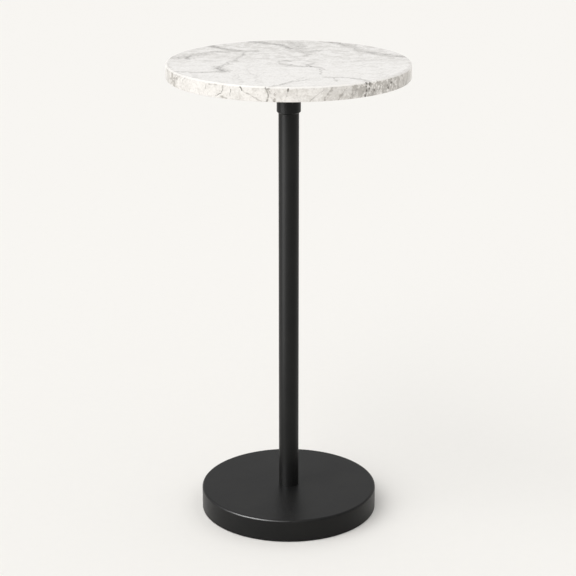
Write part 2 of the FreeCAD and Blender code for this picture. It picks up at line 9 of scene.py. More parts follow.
import bmesh
import bpy
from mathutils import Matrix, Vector


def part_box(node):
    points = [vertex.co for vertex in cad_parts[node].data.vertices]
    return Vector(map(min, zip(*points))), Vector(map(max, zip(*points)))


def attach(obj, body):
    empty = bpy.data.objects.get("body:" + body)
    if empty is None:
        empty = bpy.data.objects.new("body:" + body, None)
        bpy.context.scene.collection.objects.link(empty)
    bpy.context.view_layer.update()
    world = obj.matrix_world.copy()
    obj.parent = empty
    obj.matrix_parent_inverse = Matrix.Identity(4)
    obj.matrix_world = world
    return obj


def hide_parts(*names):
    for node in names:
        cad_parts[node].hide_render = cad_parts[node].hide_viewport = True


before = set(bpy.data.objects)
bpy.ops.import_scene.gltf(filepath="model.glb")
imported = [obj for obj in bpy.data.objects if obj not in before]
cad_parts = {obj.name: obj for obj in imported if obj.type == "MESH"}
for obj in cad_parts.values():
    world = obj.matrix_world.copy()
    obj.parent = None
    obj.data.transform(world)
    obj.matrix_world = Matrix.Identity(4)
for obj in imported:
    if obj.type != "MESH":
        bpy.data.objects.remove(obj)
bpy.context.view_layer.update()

LOG = logging.getLogger("wine_table")
BODY = "root"
MM = 0.001

# Corners that lie closer than this, in metres, become one.
JOIN = 1e-7
# A thread's depth and the flats at its crest and root, as shares of its pitch and its flank.
THREAD_DEPTH = 0.61
THREAD_FLAT = 0.2
# Where most values of a noise texture lie, and the middle of its colours.
NOISE = {"From Min": 0.3, "From Max": 0.7}
MIDDLE = (0.5, 0.5, 0.5)
# Takes away a vector's height.
LEVEL = (1.0, 1.0, 0.0)
# Distances from a vein, in its half widths: farther than any, and what the inside of the stone adds to the rim's.
FAR = 1000.0
INSIDE = 3.0
# Radians of a wave texture in one unit of its scale.
WAVE_RADIANS = 20.0

Socket = bpy.types.NodeSocket
Setting = float | int | bool | str | tuple | Socket
Point = tuple[float, float]
Place = tuple[float, float, float]
Ring = Point | Callable[[float], Point]


class Slot(Enum):
    """The material slots of the part's record."""

    MARBLE = "marble"
    POWDER_COAT = "black_powder_coat"
    BLACK_OXIDE = "black_oxide_steel"
    ZINC = "zinc_steel"
    CAST_IRON = "cast_iron"
    BRASS = "brass"
    FOAM = "foam"
    FELT = "felt"


def linear(hex_colour: str) -> tuple[float, float, float, float]:
    """Turns an sRGB colour into the linear one that shaders take.

    Args:
        hex_colour: the colour as "#rrggbb".

    Returns:
        Linear red, green and blue, with an alpha of one.
    """
    shares = (int(hex_colour[i:i + 2], 16) / 255.0 for i in (1, 3, 5))
    red, green, blue = (s / 12.92 if s <= 0.04045 else ((s + 0.055) / 1.055) ** 2.4 for s in shares)
    return red, green, blue, 1.0


def per_metre(size_mm: float) -> float:
    """Gives a texture's scale for features of a real size in millimetres."""
    return 1.0 / (size_mm * MM)


class Graph:
    """A node tree while it is being wired."""

    def __init__(self, tree: bpy.types.NodeTree) -> None:
        """Starts from an empty tree.

        Args:
            tree: the tree of a material, a world or a group.
        """
        self.tree = tree
        tree.nodes.clear()

    def add(self, kind: str, inputs: Mapping[str | int, Setting] | None = None, out: str | int = 0,
            **settings: object) -> Socket:
        """Adds one node with its settings and links.

        Args:
            kind: the node's type without its ShaderNode prefix.
            inputs: values or sockets for the node's inputs, by name or number.
            out: the output to give back, by name or number.
            settings: the node's own properties.

        Returns:
            The chosen output, or the first input of a node without outputs.
        """
        node = self.tree.nodes.new(kind if kind.startswith("Node") else "ShaderNode" + kind)
        for name, value in settings.items():
            setattr(node, name, value)
        for key, value in (inputs or {}).items():
            if isinstance(value, Socket):
                self.tree.links.new(value, node.inputs[key])
            else:
                node.inputs[key].default_value = value
        return node.outputs[out] if node.outputs else node.inputs[0]


class MaterialGraph(Graph):
    """The node tree of a new material, which starts from the piece's own coordinates in metres."""

    def __init__(self, name: str) -> None:
        """Starts the material.

        Args:
            name: its name.
        """
        self.material = bpy.data.materials.new(name)
        self.material.use_nodes = True
        super().__init__(self.material.node_tree)
        self.place = self.add("TexCoord", out="Object")

    def surface(self, **inputs: Setting) -> bpy.types.Material:
        """Ends the material with the principled shader.

        Args:
            inputs: the shader's inputs, with _ for the spaces in their names.

        Returns:
            The finished material.
        """
        shader = self.add("BsdfPrincipled", {key.replace("_", " "): value for key, value in inputs.items()})
        self.add("OutputMaterial", {"Surface": shader})
        return self.material


@dataclass(frozen=True)
class Vein:
    """One vein, drawn as a crooked line through the stone.

    Attributes:
        points: its bends, as shares of the top's radius, or on the rim as degrees and share of depth.
        widths_mm: its half width at its start and at its end.
    """

    points: tuple[tuple[float, float], ...]
    widths_mm: tuple[float, float]


# Veins that cross the polished face, as shares of its radius: +x to the right, +y away from the viewer.
BAND_VEINS = (
    Vein(((-1.02, 0.2), (-0.9, 0.19), (-0.83, 0.22), (-0.77, 0.31), (-0.7, 0.38), (-0.6, 0.42), (-0.5, 0.44),
          (-0.42, 0.47), (-0.33, 0.46), (-0.25, 0.48)), (9.0, 6.0)),
    Vein(((0.33, 0.9), (0.4, 0.86), (0.47, 0.78), (0.53, 0.69), (0.57, 0.6), (0.62, 0.51), (0.68, 0.43), (0.75, 0.36),
          (0.83, 0.31), (0.92, 0.25), (1.02, 0.2)), (7.0, 9.5)),
    Vein(((0.04, 0.86), (0.07, 0.75), (0.07, 0.65), (0.09, 0.52)), (13.0, 9.0)),
    Vein(((0.09, 0.52), (0.13, 0.4), (0.15, 0.26)), (8.0, 3.6)),
    Vein(((0.12, 0.45), (0.2, 0.43), (0.25, 0.5)), (6.0, 5.0)),
    Vein(((-0.5, -0.37), (-0.6, -0.42), (-0.7, -0.43), (-0.8, -0.41), (-1.02, -0.41)), (5.4, 2.6)),
    Vein(((-0.15, -0.98), (-0.09, -0.91), (-0.03, -0.84)), (1.8, 4.0)),
    Vein(((-0.56, -0.22), (-0.51, -0.37)), (6.0, 9.0)),
    Vein(((0.3, -0.64), (0.42, -0.65)), (6.0, 5.0)),
    Vein(((0.02, -0.16), (0.15, -0.2)), (4.0, 5.0)),
)
DARK_VEINS = (
    Vein(((-0.68, 0.72), (-0.6, 0.64), (-0.53, 0.59), (-0.46, 0.53), (-0.41, 0.49)), (5.0, 3.6)),
    Vein(((-0.3, 0.93), (-0.24, 0.87), (-0.17, 0.82), (-0.11, 0.77), (-0.07, 0.71), (-0.02, 0.65), (0.02, 0.58)),
         (6.0, 4.0)),
    Vein(((0.36, 0.88), (0.42, 0.83), (0.47, 0.78)), (4.6, 3.6)),
    Vein(((0.68, 0.43), (0.72, 0.37)), (4.4, 3.6)),
    Vein(((0.8, 0.34), (0.83, 0.31)), (3.6, 3.2)),
    Vein(((0.91, 0.25), (0.95, 0.22)), (4.0, 3.2)),
    Vein(((-0.84, 0.17), (-0.83, 0.25)), (4.2, 3.8)),
    Vein(((-0.56, -0.27), (-0.51, -0.37)), (5.2, 4.6)),
    Vein(((-0.03, 0.03), (-0.01, 0.03)), (3.4, 3.4)),
    Vein(((-0.01, -0.11), (0.01, -0.12)), (3.0, 3.0)),
    Vein(((0.17, -0.13), (0.18, -0.22)), (2.4, 2.4)),
)
CRACK_VEINS = (
    Vein(((-0.35, 0.44), (-0.37, 0.36), (-0.4, 0.28), (-0.42, 0.19), (-0.42, 0.08), (-0.43, 0.01), (-0.49, -0.04),
          (-0.51, -0.13), (-0.52, -0.22), (-0.54, -0.28)), (2.4, 2.8)),
    Vein(((-0.09, 0.0), (-0.08, -0.07), (-0.02, -0.1), (0.03, -0.12), (0.06, -0.18), (0.13, -0.21), (0.19, -0.22),
          (0.25, -0.26), (0.27, -0.32)), (2.6, 2.0)),
    Vein(((-0.02, 0.04), (0.02, 0.08), (0.06, 0.08)), (2.0, 1.4)),
    Vein(((0.2, -0.04), (0.2, -0.1), (0.17, -0.14)), (1.4, 2.0)),
    Vein(((0.22, -0.28), (0.25, -0.42), (0.27, -0.52)), (1.4, 1.2)),
    Vein(((0.31, -0.62), (0.38, -0.63), (0.46, -0.66), (0.52, -0.71), (0.6, -0.76), (0.68, -0.82)), (2.2, 2.8)),
    Vein(((0.37, -0.64), (0.36, -0.73), (0.36, -0.8)), (1.6, 1.2)),
    Vein(((0.15, -0.68), (0.1, -0.74), (0.03, -0.79), (-0.02, -0.82), (-0.04, -0.88), (-0.1, -0.93)), (1.8, 2.4)),
    Vein(((0.14, 0.71), (0.15, 0.66)), (2.2, 2.0)),
)
FAINT_VEINS = (
    Vein(((0.06, 0.08), (0.1, 0.08), (0.16, 0.06), (0.2, -0.04)), (2.4, 2.4)),
    Vein(((-0.44, 0.12), (-0.32, 0.11), (-0.2, 0.12), (-0.1, 0.13)), (2.6, 3.0)),
    Vein(((-0.1, 0.19), (0.03, 0.22), (0.15, 0.25)), (3.0, 3.0)),
    Vein(((-0.33, -0.28), (-0.31, -0.42), (-0.28, -0.55), (-0.25, -0.68), (-0.22, -0.82)), (1.8, 1.6)),
    Vein(((-0.4, -0.52), (-0.38, -0.68), (-0.36, -0.85)), (1.6, 1.6)),
    Vein(((0.52, 0.03), (0.6, 0.06), (0.72, 0.12), (0.85, 0.15), (0.97, 0.1)), (3.0, 4.0)),
    Vein(((-0.73, -0.55), (-0.74, -0.62)), (3.0, 3.0)),
    Vein(((-0.68, 0.03), (-0.6, 0.02)), (3.0, 2.6)),
    Vein(((0.1, -0.6), (0.05, -0.68), (0.02, -0.78)), (1.6, 1.4)),
)
# Veins that only the rim shows: degrees round the top, and share of the way down the edge.
RIM_DARK_VEINS = (
    Vein(((259.6, 0.0), (260.4, 0.3), (261.2, 0.6), (260.2, 1.0)), (0.9, 0.8)),
    Vein(((307.2, 0.02), (306.6, 0.35), (307.4, 0.6), (306.2, 1.02)), (1.0, 1.2)),
)
RIM_ORE = (
    Vein(((269.7, 0.14), (269.8, 0.24)), (1.2, 1.0)),
    Vein(((306.5, 0.06), (306.6, 0.12)), (1.2, 1.0)),
    Vein(((308.5, 0.1), (308.3, 0.22)), (1.2, 1.0)),
    Vein(((306.4, 0.28), (306.5, 0.32)), (1.2, 1.2)),
    Vein(((308.1, 0.44), (308.2, 0.48)), (1.1, 1.1)),
    Vein(((306.6, 0.54), (306.7, 0.58)), (1.1, 1.1)),
    Vein(((306.0, 0.84), (306.0, 0.92)), (1.2, 1.2)),
    Vein(((311.1, 0.58), (311.2, 0.62)), (1.2, 1.2)),
    Vein(((322.8, 0.34), (323.1, 0.4)), (1.3, 1.3)),
    Vein(((320.5, 0.64), (320.7, 0.7)), (1.2, 1.2)),
    Vein(((248.3, 0.12), (248.9, 0.3)), (0.8, 0.7)),
    Vein(((230.6, 0.15), (230.2, 0.5)), (0.35, 0.25)),
    Vein(((240.0, 0.1), (239.6, 0.35), (238.4, 0.66), (235.6, 0.88)), (0.4, 0.25)),
    Vein(((243.6, 0.3), (243.2, 0.72)), (0.4, 0.3)),
)
RIM_CRACK_VEINS = (
    Vein(((248.0, 0.1), (250.0, 0.38), (254.0, 0.7), (258.0, 0.96)), (0.6, 0.8)),
    Vein(((211.0, 0.05), (208.0, 0.4), (204.0, 0.65), (200.0, 0.9)), (1.2, 1.0)),
    Vein(((207.5, 0.1), (205.0, 0.55), (208.0, 0.9)), (1.0, 1.0)),
    Vein(((216.4, 0.05), (214.0, 0.32)), (0.9, 0.7)),
    Vein(((232.2, 0.18), (236.0, 0.12)), (0.9, 0.8)),
    Vein(((238.4, 0.85), (241.6, 0.97)), (1.1, 1.0)),
    Vein(((269.8, 0.26), (268.6, 0.7)), (0.5, 0.4)),
    Vein(((285.4, 0.25), (282.0, 0.62), (279.0, 0.95)), (0.7, 0.5)),
    Vein(((296.4, 0.36), (293.0, 0.74)), (1.1, 1.1)),
    Vein(((301.4, 0.4), (298.0, 0.76), (296.4, 0.4)), (1.1, 1.1)),
    Vein(((313.0, 0.05), (315.4, 0.5), (312.6, 0.95)), (1.0, 1.0)),
    Vein(((333.0, 0.1), (335.0, 0.5), (338.0, 0.9)), (1.2, 1.4)),
    Vein(((344.0, 0.1), (341.0, 0.95)), (1.4, 1.2)),
)
RIM_BAND_VEINS = (
    Vein(((194.8, -0.1), (194.8, 1.1)), (2.2, 2.2)),
    Vein(((199.0, 0.6), (209.0, 0.3)), (1.6, 1.6)),
    Vein(((285.5, 0.9), (289.0, 0.2)), (1.6, 2.0)),
    Vein(((292.0, 0.95), (296.0, 0.25)), (1.8, 2.4)),
    Vein(((298.0, 0.9), (301.0, 0.1)), (3.0, 3.6)),
    Vein(((303.0, 0.5), (309.0, 0.5)), (10.0, 13.0)),
    Vein(((310.5, 0.9), (314.5, 0.1)), (4.0, 4.4)),
    Vein(((318.0, 0.5), (329.0, 0.5)), (14.0, 14.0)),
    Vein(((333.0, 0.1), (336.0, 0.95)), (3.6, 3.6)),
    Vein(((338.5, 0.95), (342.0, 0.05)), (3.2, 3.2)),
    Vein(((344.5, 0.1), (346.0, 0.95)), (2.6, 2.6)),
)
RIM_FAINT_VEINS = (
    Vein(((288.0, 0.5), (302.0, 0.5)), (10.0, 14.0)),
    Vein(((326.0, 0.5), (346.0, 0.5)), (12.0, 12.0)),
)


def vein_stretch_group() -> bpy.types.NodeTree:
    """Makes the group that compares a point of the stone with one straight stretch of a vein.

    The point's x and y and the nearest vein so far, as a share of that vein's half width, travel as one vector.
    One stretch then follows another, because Cycles has no room for many stretches side by side.

    Returns:
        A group from State, Start, End and the half widths there to the new State.
    """
    tree = bpy.data.node_groups.new("vein_stretch", "ShaderNodeTree")
    for name, kind in (("State", "Vector"), ("Start", "Vector"), ("End", "Vector"), ("Wide", "Float"),
                       ("Narrow", "Float")):
        tree.interface.new_socket(name, in_out="INPUT", socket_type="NodeSocket" + kind)
    tree.interface.new_socket("State", in_out="OUTPUT", socket_type="NodeSocketVector")
    graph = Graph(tree)
    given = tree.nodes.new("NodeGroupInput").outputs
    away = graph.add("VectorMath", {0: given["State"], 1: given["Start"]}, operation="SUBTRACT")
    away = graph.add("VectorMath", {0: away, 1: LEVEL}, operation="MULTIPLY")
    run = graph.add("VectorMath", {0: given["End"], 1: given["Start"]}, operation="SUBTRACT")
    along = graph.add("VectorMath", {0: away, 1: run}, "Value", operation="DOT_PRODUCT")
    whole = graph.add("VectorMath", {0: run, 1: run}, "Value", operation="DOT_PRODUCT")
    share = graph.add("Math", {0: along, 1: whole}, operation="DIVIDE", use_clamp=True)
    foot = graph.add("VectorMath", {0: run, "Scale": share}, operation="SCALE")
    gap = graph.add("VectorMath", {0: away, 1: foot}, "Value", operation="DISTANCE")
    width = graph.add("Mix", {0: share, 2: given["Wide"], 3: given["Narrow"]})
    reach = graph.add("Math", {0: gap, 1: width}, operation="DIVIDE")
    x, y, so_far = (graph.add("SeparateXYZ", {0: given["State"]}, axis) for axis in "XYZ")
    nearest = graph.add("Math", {0: so_far, 1: reach}, operation="MINIMUM")
    state = graph.add("CombineXYZ", {0: x, 1: y, 2: nearest})
    graph.add("NodeGroupOutput", {"State": state})
    return tree


@dataclass(frozen=True)
class PolishedMarble:
    """White marble, sawn, ground and polished: a deep gloss over white calcite, grey clouds and dark veins.

    Attributes:
        radius: the top's radius in metres.
        top: the height of its polished face in metres.
        depth: its thickness in metres.
        white: the clean stone.
        cloud: the grey of the stone's clouds, which also paints the shade on the rim.
        grey: the stain along a vein.
        dark: a vein's core, or a speck of ore.
        lean: how far the veins move sideways in a metre of height.
        bend_mm: the length over which veins wander.
        crumble_mm: the length over which their edges crumble.
        grain_mm: the spacing of the grains.
        ore_mm: the spacing of the specks of ore.
        mottle_mm: the spacing of the mottle in the clouds.
        net_mm: the cells of the net of healed cracks.
        patch_mm: the patches in which that net comes and goes.
        crystal_mm: the size of the crystals, drawn about twice as coarse as they are, so that they show.
        saw_mm: the way in one radian of the saw's waves, which are about 25 mm long.
        swell_mm: the length of the polished face's faint swell.
        gloss: the least and most roughness where the stone is polished.
        sawn_rough: the roughness of its sawn underside.
    """

    radius: float
    top: float
    depth: float
    white: str = "#f8f5f1"
    cloud: str = "#d5d1cb"
    grey: str = "#a5a099"
    dark: str = "#56524b"
    lean: Place = (0.35, -0.2, 0.0)
    bend_mm: float = 30.0
    crumble_mm: float = 6.0
    grain_mm: float = 5.0
    ore_mm: float = 5.0
    mottle_mm: float = 14.0
    net_mm: float = 30.0
    patch_mm: float = 60.0
    crystal_mm: float = 2.0
    saw_mm: float = 4.0
    swell_mm: float = 35.0
    gloss: tuple[float, float] = (0.11, 0.2)
    sawn_rough: float = 0.62

    def across(self, vein: Vein) -> list[Place]:
        """Places a vein of the polished face in metres."""
        return [(x * self.radius, y * self.radius, 0.0) for x, y in vein.points]

    def down_rim(self, vein: Vein) -> list[Place]:
        """Places a vein of the rim in metres, with the rim unrolled."""
        return [(math.radians(angle - 360.0) * self.radius, self.top - share * self.depth, 0.0)
                for angle, share in vein.points]

    def build(self) -> bpy.types.Material:
        """Wires the stone."""
        return MarbleGraph(self).wire()


class MarbleGraph(MaterialGraph):
    """The marble's node tree, wired in steps from its coordinates to its polish."""

    def __init__(self, stone: PolishedMarble) -> None:
        """Wires the coordinates in which the veins are drawn.

        Args:
            stone: the stone's sizes and colours.
        """
        super().__init__("polished_white_marble")
        self.stone = stone
        self.normal = self.add("TexCoord", out="Normal")
        self.group = vein_stretch_group()

        # Veins wander: a slow bend of some 5 mm and a crumbly edge of about 1 mm.
        slow = self.add("TexNoise", {"Vector": self.place, "Scale": per_metre(stone.bend_mm), "Detail": 2.0}, "Color")
        fine = self.add("TexNoise", {"Vector": self.place, "Scale": per_metre(stone.crumble_mm), "Detail": 3.0},
                        "Color")
        slow = self.add("VectorMath", {0: slow, 1: MIDDLE}, operation="SUBTRACT")
        fine = self.add("VectorMath", {0: fine, 1: MIDDLE}, operation="SUBTRACT")
        bent = self.add("VectorMath", {0: slow, 1: (0.022, 0.022, 0.0), 2: self.place}, operation="MULTIPLY_ADD")
        self.bent = self.add("VectorMath", {0: fine, 1: (0.007, 0.007, 0.002), 2: bent}, operation="MULTIPLY_ADD")
        ragged = self.add("VectorMath", {0: fine, 1: (0.004, 0.004, 0.003), 2: self.place}, operation="MULTIPLY_ADD")

        # Each vein is a sheet that leans on its way down through the slab.
        height = self.add("SeparateXYZ", {0: self.place}, "Z")
        under = self.add("Math", {0: height, 1: stone.top}, operation="SUBTRACT")
        leant = self.add("VectorMath", {0: stone.lean, "Scale": under}, operation="SCALE")
        sheet = self.add("VectorMath", {0: self.bent, 1: leant}, operation="ADD")
        self.sheet = self.add("VectorMath", {0: sheet, 1: LEVEL, 2: (0.0, 0.0, FAR)}, operation="MULTIPLY_ADD")

        # The rim unrolled: the way round it, the height, and how far inside it a point is.
        self.x, y, z = (self.add("SeparateXYZ", {0: ragged}, axis) for axis in "XYZ")
        angle = self.add("Math", {0: y, 1: self.x}, operation="ARCTAN2")
        round_rim = self.add("Math", {0: angle, 1: stone.radius}, operation="MULTIPLY")
        self.unrolled = self.add("CombineXYZ", {0: round_rim, 1: z, 2: FAR})
        level = self.add("VectorMath", {0: self.place, 1: LEVEL}, operation="MULTIPLY")
        reach = self.add("VectorMath", {0: level}, "Value", operation="LENGTH")
        self.inside = self.add("MapRange", {"Value": reach, "From Min": stone.radius - 6.0 * MM,
                                            "From Max": stone.radius - 1.0 * MM, "To Min": INSIDE, "To Max": 0.0})

    def nearest(self, point: Socket, veins: Sequence[Vein], place: Callable[[Vein], list[Place]]) -> Socket:
        """Wires the distance to the nearest of some veins.

        Args:
            point: the point as x, y and a large third number.
            veins: the veins.
            place: gives a vein's bends in metres, in the point's coordinates.

        Returns:
            The distance, as a share of the vein's half width.
        """
        state = point
        for vein in veins:
            path = place(vein)
            count = len(path) - 1
            first, last = (width * MM for width in vein.widths_mm)
            widths = [first + (last - first) * i / count for i in range(count + 1)]
            for i in range(count):
                state = self.add("Group", {"State": state, "Start": path[i], "End": path[i + 1], "Wide": widths[i],
                                           "Narrow": widths[i + 1]}, node_tree=self.group)
        return self.add("SeparateXYZ", {0: state}, "Z")

    def veins(self, face: Sequence[Vein], rim: Sequence[Vein], fade: float) -> Socket:
        """Wires the distance to veins of one kind.

        Args:
            face: those that cross the face and go down through the slab.
            rim: those that only the rim shows.
            fade: the half widths by which the rim's are fainter.

        Returns:
            The distance to the nearest, as a share of its half width.
        """
        through = self.nearest(self.sheet, face, self.stone.across)
        edge = self.nearest(self.unrolled, rim, self.stone.down_rim)
        edge = self.add("Math", {0: edge, 1: self.inside}, operation="ADD")
        edge = self.add("Math", {0: edge, 1: fade}, operation="ADD")
        return self.add("Math", {0: through, 1: edge}, operation="MINIMUM")

    def frayed(self, nearest: Socket, broken: Socket, core: float, edge: float, strength: float | Socket) -> Socket:
        """Wires the tone along veins: strong at the core, and frayed out to nothing.

        Args:
            nearest: the distance to the nearest vein, in its half widths.
            broken: what the grains add to that distance.
            core: the distance up to which the tone is full.
            edge: the distance at which it ends.
            strength: the full tone.

        Returns:
            The tone, from none to one.
        """
        frayed = self.add("Math", {0: nearest, 1: broken}, operation="ADD")
        return self.add("MapRange", {"Value": frayed, "From Min": core, "From Max": edge, "To Min": strength,
                                     "To Max": 0.0}, interpolation_type="SMOOTHSTEP")

    def ore(self, core: Socket, band: Socket) -> Socket:
        """Adds specks of dark ore, about 2 mm: some drawn on the rim, the others strewn through the bands.

        Args:
            core: the tone of the veins' cores.
            band: the distance to the nearest band.

        Returns:
            The tone of cores and specks.
        """
        drawn = self.nearest(self.unrolled, RIM_ORE, self.stone.down_rim)
        drawn = self.add("Math", {0: drawn, 1: self.inside}, operation="ADD")
        drawn = self.add("MapRange", {"Value": drawn, "From Min": 0.5, "From Max": 1.3, "To Min": 0.9, "To Max": 0.0})
        core = self.add("Math", {0: core, 1: drawn}, operation="MAXIMUM")
        strewn = self.add("TexVoronoi", {"Vector": self.place, "Scale": per_metre(self.stone.ore_mm)}, "Distance")
        strewn = self.add("MapRange", {"Value": strewn, "From Min": 0.14, "From Max": 0.26, "To Min": 0.8,
                                       "To Max": 0.0})
        here = self.add("MapRange", {"Value": band, "From Min": 0.2, "From Max": 0.9, "To Min": 1.0, "To Max": 0.0})
        strewn = self.add("Math", {0: strewn, 1: here}, operation="MULTIPLY")
        return self.add("Math", {0: core, 1: strewn}, operation="MAXIMUM")

    def clouds(self) -> Socket:
        """Wires the grey of the stone: greyer towards the back of the face and lighter at its front, mottled, with
        crystals in it, and painted shade on the rim.

        Returns:
            The grey's tone, with the rim's painted shade.
        """
        stone, radius = self.stone, self.stone.radius
        away = self.add("SeparateXYZ", {0: self.place}, "Y")
        greyness_and_rim_shade = self.add("MapRange", {"Value": away, "From Min": -0.5 * radius, "From Max": 0.75 * radius,
                                      "To Min": 0.17, "To Max": 0.64}, interpolation_type="SMOOTHSTEP")

        # Painted shade on the rim: it is painted greyer at its front, most of all towards its two ends, and lighter at
        # its back.
        left = self.add("MapRange", {"Value": self.x, "From Min": -0.75 * radius, "From Max": -0.4 * radius,
                                     "To Min": -0.1, "To Max": 0.14})
        right = self.add("MapRange", {"Value": self.x, "From Min": -0.4 * radius, "From Max": 0.0, "To Min": 0.14,
                                      "To Max": 0.16})
        rim = self.add("Math", {0: left, 1: right}, operation="MINIMUM")
        ends = self.add("Math", {0: self.x}, operation="ABSOLUTE")
        ends = self.add("MapRange", {"Value": ends, "From Min": 0.75 * radius, "From Max": 0.95 * radius,
                                     "To Min": 0.0, "To Max": 0.7})
        rim = self.add("Math", {0: rim, 1: ends}, operation="ADD")
        rim = self.add("MapRange", {"Value": away, "From Min": -0.2 * radius, "From Max": 0.2 * radius, "To Min": rim,
                                    "To Max": -0.15})
        rim = self.add("MapRange", {"Value": self.inside, "From Max": INSIDE, "To Min": rim, "To Max": 0.0})
        greyness_and_rim_shade = self.add("Math", {0: greyness_and_rim_shade, 1: rim}, operation="ADD")
        clouds_and_rim_shade = self.add("TexNoise", {"Vector": self.bent, "Scale": per_metre(stone.mottle_mm), "Detail": 6.0,
                                     "Roughness": 0.72})
        clouds_and_rim_shade = self.add("MapRange", {"Value": clouds_and_rim_shade, "From Min": 0.4, "From Max": 0.6, "To Min": 0.3, "To Max": 1.7},
                        interpolation_type="SMOOTHSTEP")
        clouds_and_rim_shade = self.add("Math", {0: clouds_and_rim_shade, 1: greyness_and_rim_shade}, operation="MULTIPLY")

        # Each crystal of calcite is a shade lighter or darker.
        crystal = self.add("TexVoronoi", {"Vector": self.place, "Scale": per_metre(stone.crystal_mm)}, "Color")
        crystal = self.add("SeparateColor", {0: crystal}, "Red")
        crystal = self.add("Math", {0: crystal, 1: 0.5}, operation="SUBTRACT")
        return self.add("Math", {0: crystal, 1: 0.6, 2: clouds_and_rim_shade}, operation="MULTIPLY_ADD")

    def healed_cracks(self, broken: Socket) -> Socket:
        """Wires a faint net of healed cracks, which comes and goes.

        Args:
            broken: what the grains add to a distance.

        Returns:
            The net's tone.
        """
        net = self.add("TexVoronoi", {"Vector": self.sheet, "Scale": per_metre(self.stone.net_mm)},
                       feature="DISTANCE_TO_EDGE")
        net = self.add("Math", {0: broken, 1: 0.03, 2: net}, operation="MULTIPLY_ADD")
        net = self.add("MapRange", {"Value": net, "From Max": 0.05, "To Min": 0.24, "To Max": 0.0},
                       interpolation_type="SMOOTHSTEP")
        here = self.add("TexNoise", {"Vector": self.place, "Scale": per_metre(self.stone.patch_mm)})
        here = self.add("MapRange", {"Value": here, "From Min": 0.42, "From Max": 0.62})
        return self.add("Math", {0: net, 1: here}, operation="MULTIPLY")

    def polish(self, grains: Socket, facing: Socket) -> tuple[Socket, Socket]:
        """Wires the gloss of the face and rim, and the saw's waves that are left on the underside.

        Args:
            grains: the pattern of the grains.
            facing: how far a point faces up, from -1 to 1.

        Returns:
            The roughness and the bumped normal.
        """
        stone = self.stone
        sawn = self.add("MapRange", {"Value": facing, "From Min": -0.6, "From Max": -0.9})
        gloss = self.add("MapRange", {"Value": grains, **NOISE, "To Min": stone.gloss[0], "To Max": stone.gloss[1]})
        rough = self.add("Mix", {0: sawn, 2: gloss, 3: stone.sawn_rough})
        waves = self.add("TexWave", {"Vector": self.place, "Scale": per_metre(stone.saw_mm) / WAVE_RADIANS,
                                     "Distortion": 1.2, "Detail": 2.0})
        waves = self.add("Math", {0: waves, 1: sawn}, operation="MULTIPLY")
        swell = self.add("TexNoise", {"Vector": self.place, "Scale": per_metre(stone.swell_mm), "Detail": 1.0})
        relief = self.add("Math", {0: waves, 1: 0.6, 2: swell}, operation="MULTIPLY_ADD")
        return rough, self.add("Bump", {"Height": relief, "Strength": 0.12, "Distance": 0.25 * MM})

    def wire(self) -> bpy.types.Material:
        """Wires the veins, specks, clouds and cracks, the painted shade on the rim and the painted highlight on the
        bevel, their colours, and the polish over them.

        Returns:
            The material.
        """
        stone = self.stone
        band = self.veins(BAND_VEINS, RIM_BAND_VEINS, 0.3)
        dark = self.veins(DARK_VEINS, RIM_DARK_VEINS, 0.0)
        crack = self.veins(CRACK_VEINS, RIM_CRACK_VEINS, 0.2)
        faint = self.veins(FAINT_VEINS, RIM_FAINT_VEINS, 0.0)

        # Stain seeps out of the veins, broken up by the grains, and their cores are darker.
        grains = self.add("TexNoise", {"Vector": self.place, "Scale": per_metre(stone.grain_mm), "Detail": 5.0,
                                       "Roughness": 0.75})
        broken = self.add("MapRange", {"Value": grains, "From Min": 0.36, "From Max": 0.64, "To Min": -0.8,
                                       "To Max": 1.1})
        banding = self.add("MapRange", {"Value": self.inside, "From Max": INSIDE, "To Min": 0.7, "To Max": 0.5})
        stain = self.frayed(band, broken, 0.7, 1.35, banding)
        for nearest, core, edge, strength in ((dark, 0.2, 2.8, 0.55), (crack, 0.1, 2.4, 0.45),
                                              (faint, 0.1, 1.7, 0.3)):
            seeped = self.frayed(nearest, broken, core, edge, strength)
            stain = self.add("Math", {0: stain, 1: seeped}, operation="MAXIMUM")
        core_dark = self.frayed(dark, broken, -0.2, 1.4, 0.56)
        core_crack = self.frayed(crack, broken, -0.3, 0.9, 0.3)
        core = self.add("Math", {0: core_dark, 1: core_crack}, operation="MAXIMUM")
        core = self.ore(core, band)
        clouds_and_rim_shade = self.clouds()
        net = self.healed_cracks(broken)
        stain = self.add("Math", {0: stain, 1: net}, operation="MAXIMUM")

        # Painted highlight: on the bevel most of the grey of clouds and veins is taken away, so that it shows as a
        # white line.
        facing = self.add("SeparateXYZ", {0: self.normal}, "Z")
        bevel = self.add("Math", {0: facing, 1: 0.7, 2: 0.2}, operation="COMPARE")
        painted_bevel_highlight = self.add("Math", {0: bevel, 1: -0.8, 2: 1.0}, operation="MULTIPLY_ADD")
        clouds_and_rim_shade = self.add("Math", {0: clouds_and_rim_shade, 1: painted_bevel_highlight}, operation="MULTIPLY")
        stain = self.add("Math", {0: stain, 1: painted_bevel_highlight}, operation="MULTIPLY")

        colour = linear(stone.white)
        for share, tone in ((clouds_and_rim_shade, stone.cloud), (stain, stone.grey), (core, stone.dark)):
            colour = self.add("Mix", {0: share, 6: colour, 7: linear(tone)}, 2, data_type="RGBA")
        rough, bump = self.polish(grains, facing)
        return self.surface(Base_Color=colour, Roughness=rough, Normal=bump, IOR=1.5)


